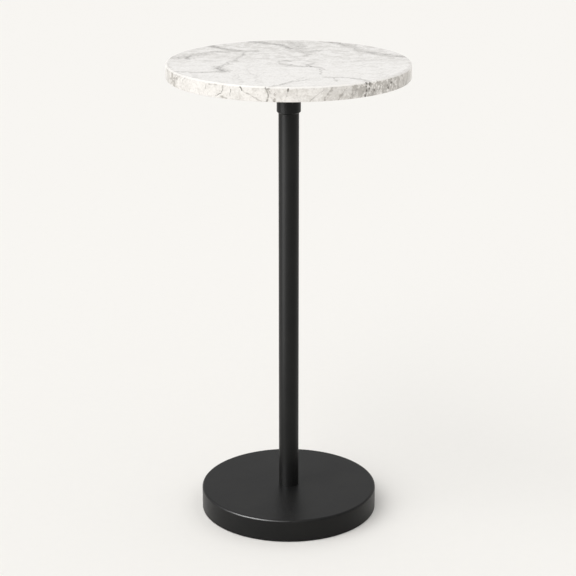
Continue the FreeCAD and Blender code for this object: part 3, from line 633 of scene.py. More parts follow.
@dataclass(frozen=True)
class TwoTone:
    """What finishes of two tones share.

    Attributes:
        tones: the two colours.
        rough: the roughness at both ends of the pattern that it follows.
        bump: the strength of the relief.
        relief_mm: the depth of the relief.
    """

    tones: tuple[str, str]
    rough: tuple[float, float]
    bump: float
    relief_mm: float

    def finish(self, graph: MaterialGraph, share: Socket, gloss: Mapping[str, Setting], height: Socket,
               **inputs: Setting) -> bpy.types.Material:
        """Ends a material.

        Args:
            graph: its node tree.
            share: the second tone's share.
            gloss: the pattern that the roughness follows, with its range.
            height: the pattern of the relief.
            inputs: further inputs of the shader.

        Returns:
            The material.
        """
        first, second = (linear(tone) for tone in self.tones)
        colour = graph.add("Mix", {0: share, 6: first, 7: second}, 2, data_type="RGBA")
        rough = graph.add("MapRange", {**gloss, "To Min": self.rough[0], "To Max": self.rough[1]})
        bump = graph.add("Bump", {"Height": height, "Strength": self.bump, "Distance": self.relief_mm * MM})
        return graph.surface(Base_Color=colour, Roughness=rough, Normal=bump, **inputs)


@dataclass(frozen=True)
class PowderCoat(TwoTone):
    """Black polyester powder baked on steel: satin, with the fine orange peel of melted powder.

    The wax that makes it satin breaks up most of its mirror image, so its specular level is lower than a clear coat's.
    """

    tones: tuple[str, str] = ("#111111", "#161615")
    rough: tuple[float, float] = (0.34, 0.42)
    bump: float = 0.1
    relief_mm: float = 0.1
    dust_mm: float = 40.0
    speck_mm: float = 0.9
    peel_mm: float = 1.8
    specular: float = 0.15

    def build(self) -> bpy.types.Material:
        """Wires the coat.

        Returns:
            The material.
        """
        graph = MaterialGraph("satin_black_powder_coat_on_steel")
        dust = graph.add("TexNoise", {"Vector": graph.place, "Scale": per_metre(self.dust_mm), "Detail": 3.0})
        dust = graph.add("MapRange", {"Value": dust, "From Min": 0.35, "From Max": 0.65})
        speck = graph.add("TexNoise", {"Vector": graph.place, "Scale": per_metre(self.speck_mm), "Detail": 2.0})
        peel = graph.add("TexNoise", {"Vector": graph.place, "Scale": per_metre(self.peel_mm), "Detail": 1.5})
        return self.finish(graph, dust, {"Value": speck, **NOISE}, peel, Specular_IOR_Level=self.specular)


@dataclass(frozen=True)
class ZincPlate(TwoTone):
    """Steel with bright zinc: pale blue-grey metal with small matt and bright patches of plating."""

    tones: tuple[str, str] = ("#c6c9cd", "#a7aaae")
    rough: tuple[float, float] = (0.24, 0.4)
    bump: float = 0.15
    relief_mm: float = 0.05
    spangle_mm: float = 1.4
    cloud_mm: float = 6.0

    def build(self) -> bpy.types.Material:
        """Wires the plating.

        Returns:
            The material.
        """
        graph = MaterialGraph("bright_zinc_plated_steel")
        spangle = graph.add("TexVoronoi", {"Vector": graph.place, "Scale": per_metre(self.spangle_mm)}, "Color")
        spangle = graph.add("SeparateColor", {0: spangle}, "Red")
        cloud = graph.add("TexNoise", {"Vector": graph.place, "Scale": per_metre(self.cloud_mm), "Detail": 4.0})
        both = graph.add("Math", {0: spangle, 1: 0.4, 2: cloud}, operation="MULTIPLY_ADD")
        patches = {"Value": both, "From Min": 0.4, "From Max": 0.95}
        return self.finish(graph, graph.add("MapRange", patches), patches, cloud, Metallic=1.0)


@dataclass(frozen=True)
class BlackOxide(TwoTone):
    """Machined steel blackened in a hot salt bath and oiled: dark grey metal, paler on rubbed high spots."""

    tones: tuple[str, str] = ("#2c2c2e", "#48484a")
    rough: tuple[float, float] = (0.42, 0.28)
    bump: float = 0.1
    relief_mm: float = 0.04
    rub_mm: float = 2.2

    def build(self) -> bpy.types.Material:
        """Wires the blackened steel.

        Returns:
            The material.
        """
        graph = MaterialGraph("oiled_black_oxide_steel")
        worn = graph.add("TexNoise", {"Vector": graph.place, "Scale": per_metre(self.rub_mm), "Detail": 4.0,
                                      "Roughness": 0.6})
        worn = graph.add("MapRange", {"Value": worn, "From Min": 0.45, "From Max": 0.7})
        return self.finish(graph, worn, {"Value": worn}, worn, Metallic=1.0)


@dataclass(frozen=True)
class SandCastIron(TwoTone):
    """Iron as it left the sand mould: dull dark grey, with the mould's grains and rusty shadows.

    The grains are drawn at 1.6 mm, a few times the size of the sand, so that they show.
    """

    tones: tuple[str, str] = ("#3a3836", "#46372e")
    rough: tuple[float, float] = (0.6, 0.85)
    bump: float = 0.7
    relief_mm: float = 0.4
    sand_mm: float = 1.6
    rust_mm: float = 22.0
    bare: float = 0.55

    def build(self) -> bpy.types.Material:
        """Wires the casting skin, which is metal only where no scale covers it.

        Returns:
            The material.
        """
        graph = MaterialGraph("sand_cast_iron")
        sand = graph.add("TexNoise", {"Vector": graph.place, "Scale": per_metre(self.sand_mm), "Detail": 6.0,
                                      "Roughness": 0.7})
        rust = graph.add("TexNoise", {"Vector": graph.place, "Scale": per_metre(self.rust_mm), "Detail": 5.0,
                                      "Roughness": 0.65})
        rust = graph.add("MapRange", {"Value": rust, "From Min": 0.48, "From Max": 0.7})
        return self.finish(graph, rust, {"Value": sand, **NOISE}, sand, Metallic=self.bare)


@dataclass(frozen=True)
class TurnedBrass(TwoTone):
    """Free-cutting brass from a lathe: warm yellow metal with fine tool lines round its axis."""

    tones: tuple[str, str] = ("#d2ae6a", "#b08a4c")
    rough: tuple[float, float] = (0.2, 0.36)
    bump: float = 0.2
    relief_mm: float = 0.04
    line_mm: float = 0.25
    stain_mm: float = 3.0

    def build(self) -> bpy.types.Material:
        """Wires the brass.

        Returns:
            The material.
        """
        graph = MaterialGraph("turned_brass")
        level = graph.add("VectorMath", {0: graph.place, 1: (0.05, 0.05, 1.0)}, operation="MULTIPLY")
        lines = graph.add("TexNoise", {"Vector": level, "Scale": per_metre(self.line_mm), "Detail": 2.0})
        stain = graph.add("TexNoise", {"Vector": graph.place, "Scale": per_metre(self.stain_mm), "Detail": 3.0})
        return self.finish(graph, stain, {"Value": lines, **NOISE}, lines, Metallic=1.0)


@dataclass(frozen=True)
class FoamSheet(TwoTone):
    """Closed cell foam cut from sheet: matt black, pitted with cells.

    The cells are drawn at 0.8 mm, about twice their real size, so that they show.
    """

    tones: tuple[str, str] = ("#151515", "#222223")
    rough: tuple[float, float] = (0.95, 0.8)
    bump: float = 0.5
    relief_mm: float = 0.2
    cell_mm: float = 0.8

    def build(self) -> bpy.types.Material:
        """Wires the foam, painted darker in the pits of its cells as painted shade, and paler on the skin between
        them.

        Returns:
            The material.
        """
        graph = MaterialGraph("black_closed_cell_foam")
        cells = graph.add("TexVoronoi", {"Vector": graph.place, "Scale": per_metre(self.cell_mm)})
        # Painted shade: the cells' pits are painted darker than the skin between them.
        skin = graph.add("MapRange", {"Value": cells, "From Min": 0.15, "From Max": 0.5})
        return self.finish(graph, skin, {"Value": skin}, skin)


@dataclass(frozen=True)
class PressedFelt(TwoTone):
    """Needled and pressed felt: dull charcoal, with crossing fibres and a soft sheen at its edges.

    The fibres are drawn at 0.3 mm, about ten times their real width, so that they show.
    """

    tones: tuple[str, str] = ("#2b2a29", "#4a4846")
    rough: tuple[float, float] = (1.0, 0.85)
    bump: float = 0.6
    relief_mm: float = 0.3
    fibre_mm: float = 0.3
    fibre_angles: tuple[float, ...] = (0.4, 1.5, 2.6)

    def build(self) -> bpy.types.Material:
        """Wires the felt from layers of fibres that lie at different angles.

        Returns:
            The material.
        """
        graph = MaterialGraph("pressed_charcoal_felt")
        mat: float | Socket = 0.0
        for angle in self.fibre_angles:
            turned = graph.add("VectorRotate", {"Vector": graph.place, "Angle": angle}, rotation_type="Z_AXIS")
            long = graph.add("VectorMath", {0: turned, 1: (0.12, 1.0, 1.0)}, operation="MULTIPLY")
            layer = graph.add("TexNoise", {"Vector": long, "Scale": per_metre(self.fibre_mm), "Detail": 2.0})
            mat = graph.add("Math", {0: layer, 1: mat}, operation="MAXIMUM")
        tone = graph.add("MapRange", {"Value": mat, "From Min": 0.45, "From Max": 0.75})
        return self.finish(graph, tone, {"Value": tone}, mat, Sheen_Weight=0.3, Sheen_Roughness=0.5,
                           Specular_IOR_Level=0.2)


@dataclass(frozen=True)
class StudioPaper:
    """Seamless studio paper: matt, slightly warm white, with the faint mottle of its pulp."""

    white: str = "#f4f2ee"
    shade: str = "#f2f0ec"
    pulp_mm: float = 12.0

    def build(self) -> bpy.types.Material:
        """Wires the paper.

        Returns:
            The material.
        """
        graph = MaterialGraph("warm_white_studio_paper")
        pulp = graph.add("TexNoise", {"Vector": graph.place, "Scale": per_metre(self.pulp_mm), "Detail": 4.0})
        colour = graph.add("Mix", {0: pulp, 6: linear(self.white), 7: linear(self.shade)}, 2, data_type="RGBA")
        return graph.surface(Base_Color=colour, Roughness=0.95, Specular_IOR_Level=0.1)


class Finishes:
    """The part's materials, by slot, each made once."""

    def __init__(self) -> None:
        """Makes every material, the stone's from the top's place in the frame."""
        low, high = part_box("marble_top")
        marble = PolishedMarble(radius=(high.x - low.x) / 2, top=high.z, depth=high.z - low.z)
        self.by_slot: dict[Slot, bpy.types.Material] = {
            Slot.MARBLE: marble.build(), Slot.POWDER_COAT: PowderCoat().build(), Slot.ZINC: ZincPlate().build(),
            Slot.BLACK_OXIDE: BlackOxide().build(), Slot.CAST_IRON: SandCastIron().build(),
            Slot.BRASS: TurnedBrass().build(), Slot.FOAM: FoamSheet().build(), Slot.FELT: PressedFelt().build(),
        }

    def dress(self, slot: Slot, *nodes: str) -> None:
        """Gives CAD nodes whose shape is right a better material.

        Args:
            slot: the slot whose material they get.
            nodes: the nodes' names.
        """
        for node in nodes:
            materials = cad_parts[node].data.materials
            for i in range(len(materials)):
                materials[i] = self.by_slot[slot]
            LOG.info("dressed %s in %s", node, self.by_slot[slot].name)

    def settle(self, piece: bpy.types.Object, slot: Slot, *nodes: str) -> None:
        """Makes a new piece part of the table.

        Args:
            piece: the piece.
            slot: the slot whose material it gets.
            nodes: the CAD nodes that it stands for.
        """
        piece.data.materials.append(self.by_slot[slot])
        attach(piece, BODY)
        if nodes:
            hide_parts(*nodes)
        LOG.info("built %s in %s, %d faces", piece.name, self.by_slot[slot].name, len(piece.data.polygons))


def arc(centre: Point, radius: float, start: float, end: float, steps: int) -> list[Point]:
    """Gives points on an arc of an outline.

    Args:
        centre: its centre, as radius and height.
        radius: its own radius.
        start: its first angle in degrees, from outward to up.
        end: its last angle.
        steps: the number of chords.

    Returns:
        The points, both ends included.
    """
    angles = (math.radians(start + (end - start) * i / steps) for i in range(steps + 1))
    return [(centre[0] + radius * math.cos(a), centre[1] + radius * math.sin(a)) for a in angles]


def hexagon(across: float, height: float, bevel_from: float = math.inf) -> Ring:
    """Gives a six-sided ring with two corners along x.

    Args:
        across: the width across its flats.
        height: its height.
        bevel_from: the radius outside which a 30 degree bevel lifts it.

    Returns:
        The ring, by angle.
    """
    def ring(angle: float) -> Point:
        """Gives the radius and height at an angle."""
        radius = across / 2 / math.cos(angle % (math.pi / 3) - math.pi / 6)
        return radius, height + max(radius - bevel_from, 0.0) * math.tan(math.pi / 6)
    return ring


def cross(length: float, width: float, height: float) -> Ring:
    """Gives a ring in the shape of a driver's cross.

    Args:
        length: the cross from tip to tip.
        width: an arm's width.
        height: the ring's height.

    Returns:
        The ring, by angle.
    """
    def ring(angle: float) -> Point:
        """Gives the radius and height at an angle."""
        off_arm = abs((angle + math.pi / 4) % (math.pi / 2) - math.pi / 4)
        return min(length / 2 / math.cos(off_arm), width / 2 / max(math.sin(off_arm), 1e-6)), height
    return ring


def thread(radius: float, pitch: float, start: float, end: float, rings_per_turn: int = 6) -> list[Ring]:
    """Gives the rings of a screw thread with flats at crest and root.

    Args:
        radius: the radius over its crests.
        pitch: its rise in one turn.
        start: its first height.
        end: its last height.
        rings_per_turn: the number of rings in one pitch.

    Returns:
        The rings, from start to end.
    """
    def at(height: float) -> Ring:
        """Gives the ring at one height."""
        def ring(angle: float) -> Point:
            """Gives the thread's surface at an angle.

            Args:
                angle: the angle round the thread.

            Returns:
                The radius and height there.
            """
            slope = abs(2.0 * ((height / pitch - angle / math.tau) % 1.0) - 1.0)
            cut = min(max(slope * (1.0 + 2.0 * THREAD_FLAT) - THREAD_FLAT, 0.0), 1.0)
            runout = min((end - height) / pitch, 1.0)
            return radius - THREAD_DEPTH * pitch * (cut * runout + 1.0 - runout), height
        return ring
    count = max(int((end - start) / pitch * rings_per_turn), 1)
    return [at(start + (end - start) * i / count) for i in range(count + 1)]


def spread_round(radius: float, count: int) -> list[Point]:
    """Gives places evenly spread round the table's axis, the first along x."""
    return [(radius * math.cos(math.tau * i / count), radius * math.sin(math.tau * i / count)) for i in range(count)]


class Turning:
    """A mesh made of shapes turned about upright axes."""

    def __init__(self) -> None:
        """Starts with no faces."""
        self.mesh = bmesh.new()

    def turn(self, outline: Sequence[Ring], steps: int, axis: Point = (0.0, 0.0)) -> None:
        """Turns an outline about an upright axis.

        Args:
            outline: rings as radius and height, or as a function that gives both by angle; a radius of zero at an
                end closes the shape there.
            steps: the number of faces round the axis.
            axis: where the axis stands.
        """
        rings = []
        for ring in outline:
            if not callable(ring) and ring[0] == 0.0:
                rings.append([self.mesh.verts.new((*axis, ring[1]))])
                continue
            corners = []
            for i in range(steps):
                angle = math.tau * i / steps
                radius, height = ring(angle) if callable(ring) else ring
                corners.append(self.mesh.verts.new((axis[0] + radius * math.cos(angle),
                                                    axis[1] + radius * math.sin(angle), height)))
            rings.append(corners)
        for one, two in zip(rings, rings[1:]):
            for i in range(steps):
                j = (i + 1) % steps
                corners = [one[i % len(one)], one[j % len(one)], two[j % len(two)], two[i % len(two)]]
                self.mesh.faces.new(list(dict.fromkeys(corners)))

    def to_object(self, name: str, sharp_degrees: float = 35.0) -> bpy.types.Object:
        """Ends the mesh.

        Args:
            name: the object's name.
            sharp_degrees: the angle from which an edge stays sharp.

        Returns:
            The object, in the scene.
        """
        bmesh.ops.remove_doubles(self.mesh, verts=self.mesh.verts, dist=JOIN)
        bmesh.ops.recalc_face_normals(self.mesh, faces=self.mesh.faces)
        data = bpy.data.meshes.new(name)
        self.mesh.to_mesh(data)
        self.mesh.free()
        data.polygons.foreach_set("use_smooth", [True] * len(data.polygons))
        data.set_sharp_from_angle(angle=math.radians(sharp_degrees))
        piece = bpy.data.objects.new(name, data)
        bpy.context.scene.collection.objects.link(piece)
        return piece


@dataclass
class StoneTop:
    """The marble disc, its brass inserts and the foam that beds it."""

    finishes: Finishes
    foam_bulge_mm: float = 0.25
    foam_steps: int = 180

    def gasket(self) -> None:
        """Builds the foam disc: pressed flat by the stone, with a soft, slightly uneven edge."""
        low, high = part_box("stone_gasket")
        half, bulge = (high.z - low.z) / 2, self.foam_bulge_mm * MM
        inner, middle = (high.x - low.x) / 2 - half - bulge, (low.z + high.z) / 2

        def edge(slant: float) -> Ring:
            """Gives the ring of the edge at a slant from outward to up."""
            def ring(angle: float) -> Point:
                """Gives the radius and height at an angle."""
                # Two waves that never fall together keep the ripple uneven.
                ripple = bulge * (0.5 * math.sin(23 * angle) + 0.3 * math.sin(41 * angle + 1.0))
                return inner + ripple + half * math.cos(slant), middle + half * math.sin(slant)
            return ring
        shape = Turning()
        rounded = (edge(math.radians(slant)) for slant in range(-90, 91, 30))
        shape.turn([(0.0, low.z), *rounded, (0.0, high.z)], self.foam_steps)
        self.finishes.settle(shape.to_object("foam_gasket"), Slot.FOAM, "stone_gasket")

    def build(self) -> None:
        """Dresses the stone and its inserts, and builds the gasket."""
        self.finishes.dress(Slot.MARBLE, "marble_top")
        self.finishes.dress(Slot.BRASS, "stone_inserts")
        self.gasket()


@dataclass
class Head:
    """The plate under the stone with its screws, the collar with its weld, and the stud."""

    finishes: Finishes
    screw_count: int = 4
    screw_steps: int = 36
    screw_mm: float = 6.0
    screw_pitch_mm: float = 1.0
    screw_head_mm: Point = (10.5, 3.3)
    screw_dome_mm: float = 2.5
    screw_socket_mm: Point = (4.0, 1.9)
    stud_mm: float = 10.0
    stud_pitch_mm: float = 1.5
    stud_steps: int = 40
    collar_wall_mm: float = 2.2
    weld_mm: float = 2.0
    weld_sunk: float = 0.55
    weld_ripples: int = 44
    weld_ripple_steps: int = 6

    def screws(self) -> None:
        """Builds the button head screws: domed heads with hexagon sockets, and rolled threads."""
        low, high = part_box("plate_screws")
        wide, tall, dome = (size * MM for size in (*self.screw_head_mm, self.screw_dome_mm))
        across, deep = (size * MM for size in self.screw_socket_mm)
        drilled, mouth, edge, fillet = (size * MM for size in (0.5, 0.25, 0.15, 0.3))
        run_out, end, tip = (size * MM for size in (1.0, 0.4, 0.9))
        radius, seat = self.screw_mm / 2 * MM, low.z + tall
        outline = [(0.0, low.z + deep + drilled), hexagon(across, low.z + deep), hexagon(across, low.z + mouth),
                   (across / 2 + drilled, low.z), *arc((wide / 2 - dome, low.z + dome), dome, -90.0, 0.0, 7),
                   (wide / 2, seat - edge), (wide / 2 - edge, seat), (radius + fillet, seat), (radius, seat + fillet),
                   *thread(radius, self.screw_pitch_mm * MM, seat + run_out, high.z - end),
                   (radius - tip, high.z), (0.0, high.z)]
        shape = Turning()
        for place in spread_round((high.x - low.x - wide) / 2, self.screw_count):
            shape.turn(outline, self.screw_steps, place)
        self.finishes.settle(shape.to_object("button_head_screws"), Slot.BLACK_OXIDE, "plate_screws")

    def stud(self) -> None:
        """Builds the stud: threaded for the tube's plug, and plain where it is welded into the plate."""
        low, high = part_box("top_stud")
        radius, pitch = self.stud_mm / 2 * MM, self.stud_pitch_mm * MM
        run_out, plain = (high.z - size * MM for size in (4.0, 3.9))
        shape = Turning()
        shape.turn([(0.0, low.z), (radius - pitch * 0.7, low.z), *thread(radius, pitch, low.z + pitch * 0.5, run_out),
                    (radius, plain), (radius, high.z), (0.0, high.z)], self.stud_steps)
        self.finishes.settle(shape.to_object("threaded_stud"), Slot.ZINC, "top_stud")

    def weld(self) -> None:
        """Builds the weld round the collar: overlapping ripples under the coat, as each drop of metal froze."""
        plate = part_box("column_collar")[1].z
        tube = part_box("column_tube")
        collar = (tube[1].x - tube[0].x) / 2 + self.collar_wall_mm * MM
        size = self.weld_mm * MM
        sunk = self.weld_sunk * size

        def section(slant: float) -> Ring:
            """Gives the ring of the bead at a slant from outward to up."""
            def ring(angle: float) -> Point:
                """Gives the bead's surface at an angle.

                Args:
                    angle: the angle round the collar.

                Returns:
                    The radius and height there.
                """
                # Each drop starts under the last one and swells, and the whole bead wavers a little.
                drop = (angle / math.tau * self.weld_ripples + 0.12 * math.cos(slant)) % 1.0
                swell = size * (1.0 + 0.13 * (drop ** 0.6) + 0.05 * math.sin(5 * angle + 0.7))
                return collar + sunk + swell * math.cos(slant), plate - sunk + swell * math.sin(slant)
            return ring
        shape = Turning()
        shape.turn([section(math.radians(slant)) for slant in range(-180, 181, 20)],
                   self.weld_ripples * self.weld_ripple_steps)
        self.finishes.settle(shape.to_object("collar_weld"), Slot.POWDER_COAT)

    def build(self) -> None:
        """Dresses the plate, washers and collar, and builds the screws, the stud and the weld."""
        self.finishes.dress(Slot.POWDER_COAT, "mounting_plate", "column_collar")
        self.finishes.dress(Slot.ZINC, "plate_washers")
        self.screws()
        self.stud()
        self.weld()


@dataclass
class Column:
    """The steel tube and the tapped plugs in its ends."""

    finishes: Finishes

    def build(self) -> None:
        """Dresses the tube and its plugs."""
        self.finishes.dress(Slot.POWDER_COAT, "column_tube")
        self.finishes.dress(Slot.ZINC, "upper_plug", "lower_plug")


@dataclass
class WeightedBase:
    """The pressed cover, the iron inside it, the bolt with its washers, the bottom sheet and the pads."""

    finishes: Finishes
    bolt_mm: float = 10.0
    bolt_pitch_mm: float = 1.5
    bolt_head_mm: Point = (17.0, 6.4)
    bolt_shank_mm: float = 12.0
    bolt_steps: int = 48
    screw_count: int = 4
    screw_steps: int = 48
    screw_mm: float = 4.0
    screw_pitch_mm: float = 0.7
    screw_head_mm: Point = (8.0, 1.5)
    screw_cross_mm: tuple[float, float, float] = (4.4, 1.2, 0.9)
    pad_count: int = 6
    pad_steps: int = 108
    pad_mm: float = 24.0
    pad_round_mm: float = 0.8
    pad_fray_mm: float = 0.09

    def bolt(self) -> None:
        """Builds the hexagon head bolt: bevelled corners, a washer face, a plain shank and a rolled thread."""
        low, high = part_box("base_bolt")
        across, tall = (size * MM for size in self.bolt_head_mm)
        edge, end, tip = (size * MM for size in (0.4, 1.0, 1.2))
        radius, pitch, seat = self.bolt_mm / 2 * MM, self.bolt_pitch_mm * MM, low.z + tall
        face, shank = across / 2 * 0.95, seat + self.bolt_shank_mm * MM
        shape = Turning()
        shape.turn([(0.0, low.z), (face, low.z), hexagon(across, low.z, face), hexagon(across, seat - edge),
                    (face, seat - edge), (face, seat), (radius + edge, seat), (radius, seat + edge), (radius, shank),
                    *thread(radius, pitch, shank, high.z - end), (radius - tip, high.z), (0.0, high.z)],
                   self.bolt_steps)
        self.finishes.settle(shape.to_object("hexagon_bolt"), Slot.ZINC, "base_bolt")

    def screws(self) -> None:
        """Builds the flat head screws of the bottom sheet, each with a driver's cross."""
        low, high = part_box("bottom_screws")
        wide, tall = (size * MM for size in self.screw_head_mm)
        length, width, deep = (size * MM for size in self.screw_cross_mm)
        lip, run_out, end, tip = (size * MM for size in (0.15, 0.5, 0.3, 0.6))
        radius, seat, curve, taper = self.screw_mm / 2 * MM, low.z + tall, tall * 0.6, 0.8
        outline = [(0.0, low.z + deep), cross(length * taper, width * taper, low.z + deep),
                   cross(length, width, low.z), (length / 2 + lip, low.z),
                   *arc((wide / 2 - curve, low.z + curve), curve, -90.0, 0.0, 5), (wide / 2, seat), (radius, seat),
                   *thread(radius, self.screw_pitch_mm * MM, seat + run_out, high.z - end),
                   (radius - tip, high.z), (0.0, high.z)]
        shape = Turning()
        for place in spread_round((high.x - low.x - wide) / 2, self.screw_count):
            shape.turn(outline, self.screw_steps, place)
        self.finishes.settle(shape.to_object("cross_head_screws"), Slot.ZINC, "bottom_screws")

    def frayed(self, inset: float, height: float, number: int) -> Ring:
        """Gives a frayed ring of a pad.

        Args:
            inset: how far it lies inside the pad's edge.
            height: its height.
            number: the pad's number, which shifts its fibres.

        Returns:
            The ring, by angle.
        """
        def ring(angle: float) -> Point:
            """Gives the radius and height at an angle."""
            # Two sets of fibres, shifted from layer to layer and from pad to pad.
            fray = math.sin(31 * angle + number + 900 * height) + 0.8 * math.sin(53 * angle + 2 * number)
            return self.pad_mm / 2 * MM - inset - self.pad_fray_mm * MM * (1.0 + fray / 1.8), height
        return ring

    def pads(self) -> None:
        """Builds the felt pads: punched from sheet, with edges that the floor has pressed round and frayed."""
        low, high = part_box("floor_pads")
        curve, punched, side, glued = (size * MM for size in (self.pad_round_mm, 0.05, 0.5, 0.35))
        shape = Turning()
        places = spread_round((high.x - low.x) / 2 - self.pad_mm / 2 * MM, self.pad_count)
        for number, place in enumerate(places):
            foot = [self.frayed(curve - reach, low.z + height, number)
                    for reach, height in arc((0.0, curve), curve, -90.0, 0.0, 5)]
            shape.turn([(0.0, low.z), *foot, self.frayed(punched, high.z - side, number),
                        self.frayed(glued, high.z, number), (0.0, high.z)], self.pad_steps, place)
        self.finishes.settle(shape.to_object("felt_pads"), Slot.FELT, "floor_pads")

    def build(self) -> None:
        """Dresses the cover, the iron, the sheet and the washers, and builds the bolt, the screws and the pads."""
        self.finishes.dress(Slot.POWDER_COAT, "base_cover", "bottom_plate")
        self.finishes.dress(Slot.ZINC, "flat_washer", "spring_washer")
        self.finishes.dress(Slot.CAST_IRON, "base_weight")
        self.bolt()
        self.screws()
        self.pads()


@dataclass(frozen=True)
class Card:
    """A bright card that only the black steel mirrors.

    Attributes:
        name: its name.
        azimuth_degrees: its direction from the table, from x towards y.
        height_degrees: its direction above the floor.
        away_m: its distance.
        lift_m: how far it is then lifted.
        size_m: its width and height.
        radiance: its brightness, where lit white paper has about one.
    """

    name: str
    azimuth_degrees: float
    height_degrees: float
    away_m: float
    lift_m: float
    size_m: Point
    radiance: float


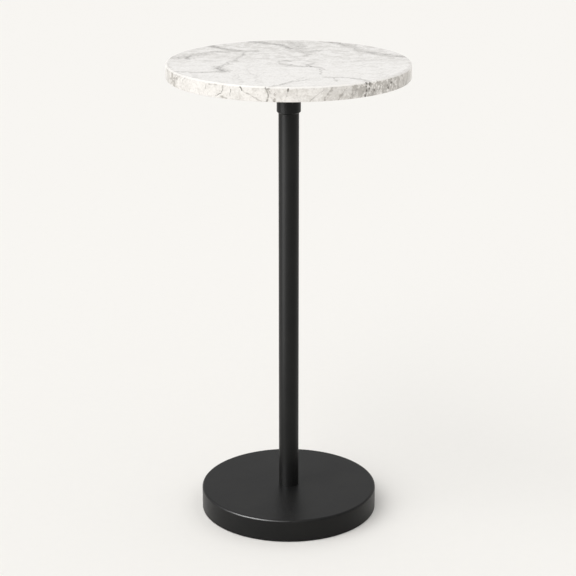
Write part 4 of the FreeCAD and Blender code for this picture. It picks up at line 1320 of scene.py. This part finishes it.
@dataclass
class Studio:
    """The floor, the light and the camera.

    Attributes:
        focal_px: the lens's focal length, in pixels of the picture.
        frame_px: the picture's width.
        sensor_mm: the width of the camera's sensor.
        eye_m: where the camera stands.
        tilt_degrees: how far it is turned up from straight down.
        floor_m: the floor's width.
        key_strength: the soft sun's strength.
        key_spread_degrees: how wide it looks from the table.
        key_azimuth_degrees: its direction from the table, from x towards y.
        key_height_degrees: its direction above the floor.
        cards: one card at the sun, for the bright line of the base's edge, and a strip close at the left, for the
            column's highlight.
        mirrors: the pieces of black steel that mirror the cards.
        wall_light: the light of the walls in front, low behind and high behind.
        wall_turn: from where to where the wall in front turns into the one behind, as a direction's y.
        wall_step: from where to where the wall behind changes, as a direction's z.
        ceiling_light: the ceiling's light.
        ceiling_step: from where to where the walls turn into the ceiling.
        backdrop: the colour near the horizon, which the floor runs into.
        backdrop_step: from where to where the walls turn into the backdrop.
    """

    focal_px: float = 1728.54
    frame_px: float = 576.0
    sensor_mm: float = 36.0
    eye_m: Place = (-0.00099, -2.11825, 1.0075)
    tilt_degrees: float = 71.661
    floor_m: float = 24.0
    key_strength: float = 1.24
    key_spread_degrees: float = 64.0
    key_azimuth_degrees: float = 218.0
    key_height_degrees: float = 40.0
    cards: tuple[Card, ...] = (Card("key_card", 218.0, 40.0, 2.0, 0.0, (1.3, 0.9), 80.0),
                               Card("strip_card", 208.0, 0.0, 0.5, 0.45, (0.28, 0.9), 3.9))
    mirrors: tuple[str, ...] = ("column_tube", "column_collar", "base_cover")
    wall_light: tuple[float, float, float] = (0.36, 0.76, 0.58)
    wall_turn: Point = (-0.3, 0.6)
    wall_step: Point = (0.24, 0.36)
    ceiling_light: float = 0.925
    ceiling_step: Point = (0.45, 0.65)
    backdrop: str = "#f6f4f0"
    backdrop_step: Point = (0.16, 0.1)

    def floor(self) -> None:
        """Lays the paper floor."""
        half = self.floor_m / 2
        data = bpy.data.meshes.new("studio_floor")
        data.from_pydata([(-half, -half, 0.0), (half, -half, 0.0), (half, half, 0.0), (-half, half, 0.0)], [],
                         [(0, 1, 2, 3)])
        data.materials.append(StudioPaper().build())
        piece = bpy.data.objects.new("studio_floor", data)
        bpy.context.scene.collection.objects.link(piece)

    @staticmethod
    def hang(light: bpy.types.Light, azimuth_degrees: float, height_degrees: float) -> tuple[bpy.types.Object, Vector]:
        """Hangs a light so that it faces the table.

        Args:
            light: the light.
            azimuth_degrees: its direction from the table, from x towards y.
            height_degrees: its direction above the floor.

        Returns:
            The lamp, and the direction from the table to it.
        """
        azimuth, height = math.radians(azimuth_degrees), math.radians(height_degrees)
        towards = Vector((math.cos(azimuth) * math.cos(height), math.sin(azimuth) * math.cos(height),
                          math.sin(height)))
        lamp = bpy.data.objects.new(light.name, light)
        lamp.rotation_euler = towards.to_track_quat("Z", "Y").to_euler()
        bpy.context.scene.collection.objects.link(lamp)
        return lamp, towards

    def key_light(self) -> None:
        """Sets a wide soft sun at the left in front."""
        sun = bpy.data.lights.new("key_light", "SUN")
        sun.energy = self.key_strength
        sun.angle = math.radians(self.key_spread_degrees)
        self.hang(sun, self.key_azimuth_degrees, self.key_height_degrees)

    def card_lights(self) -> None:
        """Hangs the cards, which light nothing but the black steel."""
        steel = bpy.data.collections.new("black_steel")
        for node in self.mirrors:
            steel.objects.link(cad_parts[node])
        for card in self.cards:
            light = bpy.data.lights.new(card.name, "AREA")
            light.shape = "RECTANGLE"
            light.size, light.size_y = card.size_m
            light.energy = card.radiance * math.pi * light.size * light.size_y
            lamp, towards = self.hang(light, card.azimuth_degrees, card.height_degrees)
            lamp.location = towards * card.away_m + Vector((0.0, 0.0, card.lift_m))
            lamp.visible_camera = lamp.visible_diffuse = False
            lamp.light_linking.receiver_collection = steel

    def room(self) -> None:
        """Sets the room's light: walls, lighter behind and dim in front, a ceiling, and a pale backdrop."""
        world = bpy.data.worlds.new("studio_room")
        world.use_nodes = True
        graph = Graph(world.node_tree)
        towards = graph.add("TexCoord", out="Generated")
        up = graph.add("SeparateXYZ", {0: towards}, "Z")
        back = graph.add("SeparateXYZ", {0: towards}, "Y")
        front, low, high = self.wall_light
        behind = graph.add("MapRange", {"Value": up, "From Min": self.wall_step[0], "From Max": self.wall_step[1],
                                        "To Min": low, "To Max": high}, interpolation_type="SMOOTHSTEP")
        wall = graph.add("MapRange", {"Value": back, "From Min": self.wall_turn[0], "From Max": self.wall_turn[1],
                                      "To Min": front, "To Max": behind}, interpolation_type="SMOOTHSTEP")
        above = graph.add("MapRange", {"Value": up, "From Min": self.ceiling_step[0],
                                       "From Max": self.ceiling_step[1]}, interpolation_type="SMOOTHSTEP")
        level = graph.add("Mix", {0: above, 2: wall, 3: self.ceiling_light})
        near = graph.add("MapRange", {"Value": up, "From Min": self.backdrop_step[0],
                                      "From Max": self.backdrop_step[1]})
        colour = graph.add("Mix", {0: near, 6: level, 7: linear(self.backdrop)}, 2, data_type="RGBA")
        light = graph.add("Background", {"Color": colour})
        graph.add("OutputWorld", {"Surface": light})
        bpy.context.scene.world = world

    def camera(self) -> None:
        """Sets the camera at the picture's point of view."""
        lens = bpy.data.cameras.new("camera")
        lens.sensor_width = self.sensor_mm
        lens.lens = self.focal_px / self.frame_px * self.sensor_mm
        eye = bpy.data.objects.new("camera", lens)
        eye.location = self.eye_m
        eye.rotation_euler = (math.radians(self.tilt_degrees), 0.0, 0.0)
        bpy.context.scene.collection.objects.link(eye)
        bpy.context.scene.camera = eye

    def build(self) -> None:
        """Sets up the studio."""
        self.floor()
        self.key_light()
        self.card_lights()
        self.room()
        self.camera()
        bpy.context.scene.view_settings.view_transform = "Standard"
        LOG.info("set up the studio")


def main() -> None:
    """Builds the table and the studio in order."""
    logging.basicConfig(level=logging.INFO, format="%(message)s")
    finishes = Finishes()
    for assembly in (StoneTop(finishes), Head(finishes), Column(finishes), WeightedBase(finishes), Studio()):
        assembly.build()


if __name__ == "__main__":
    main()
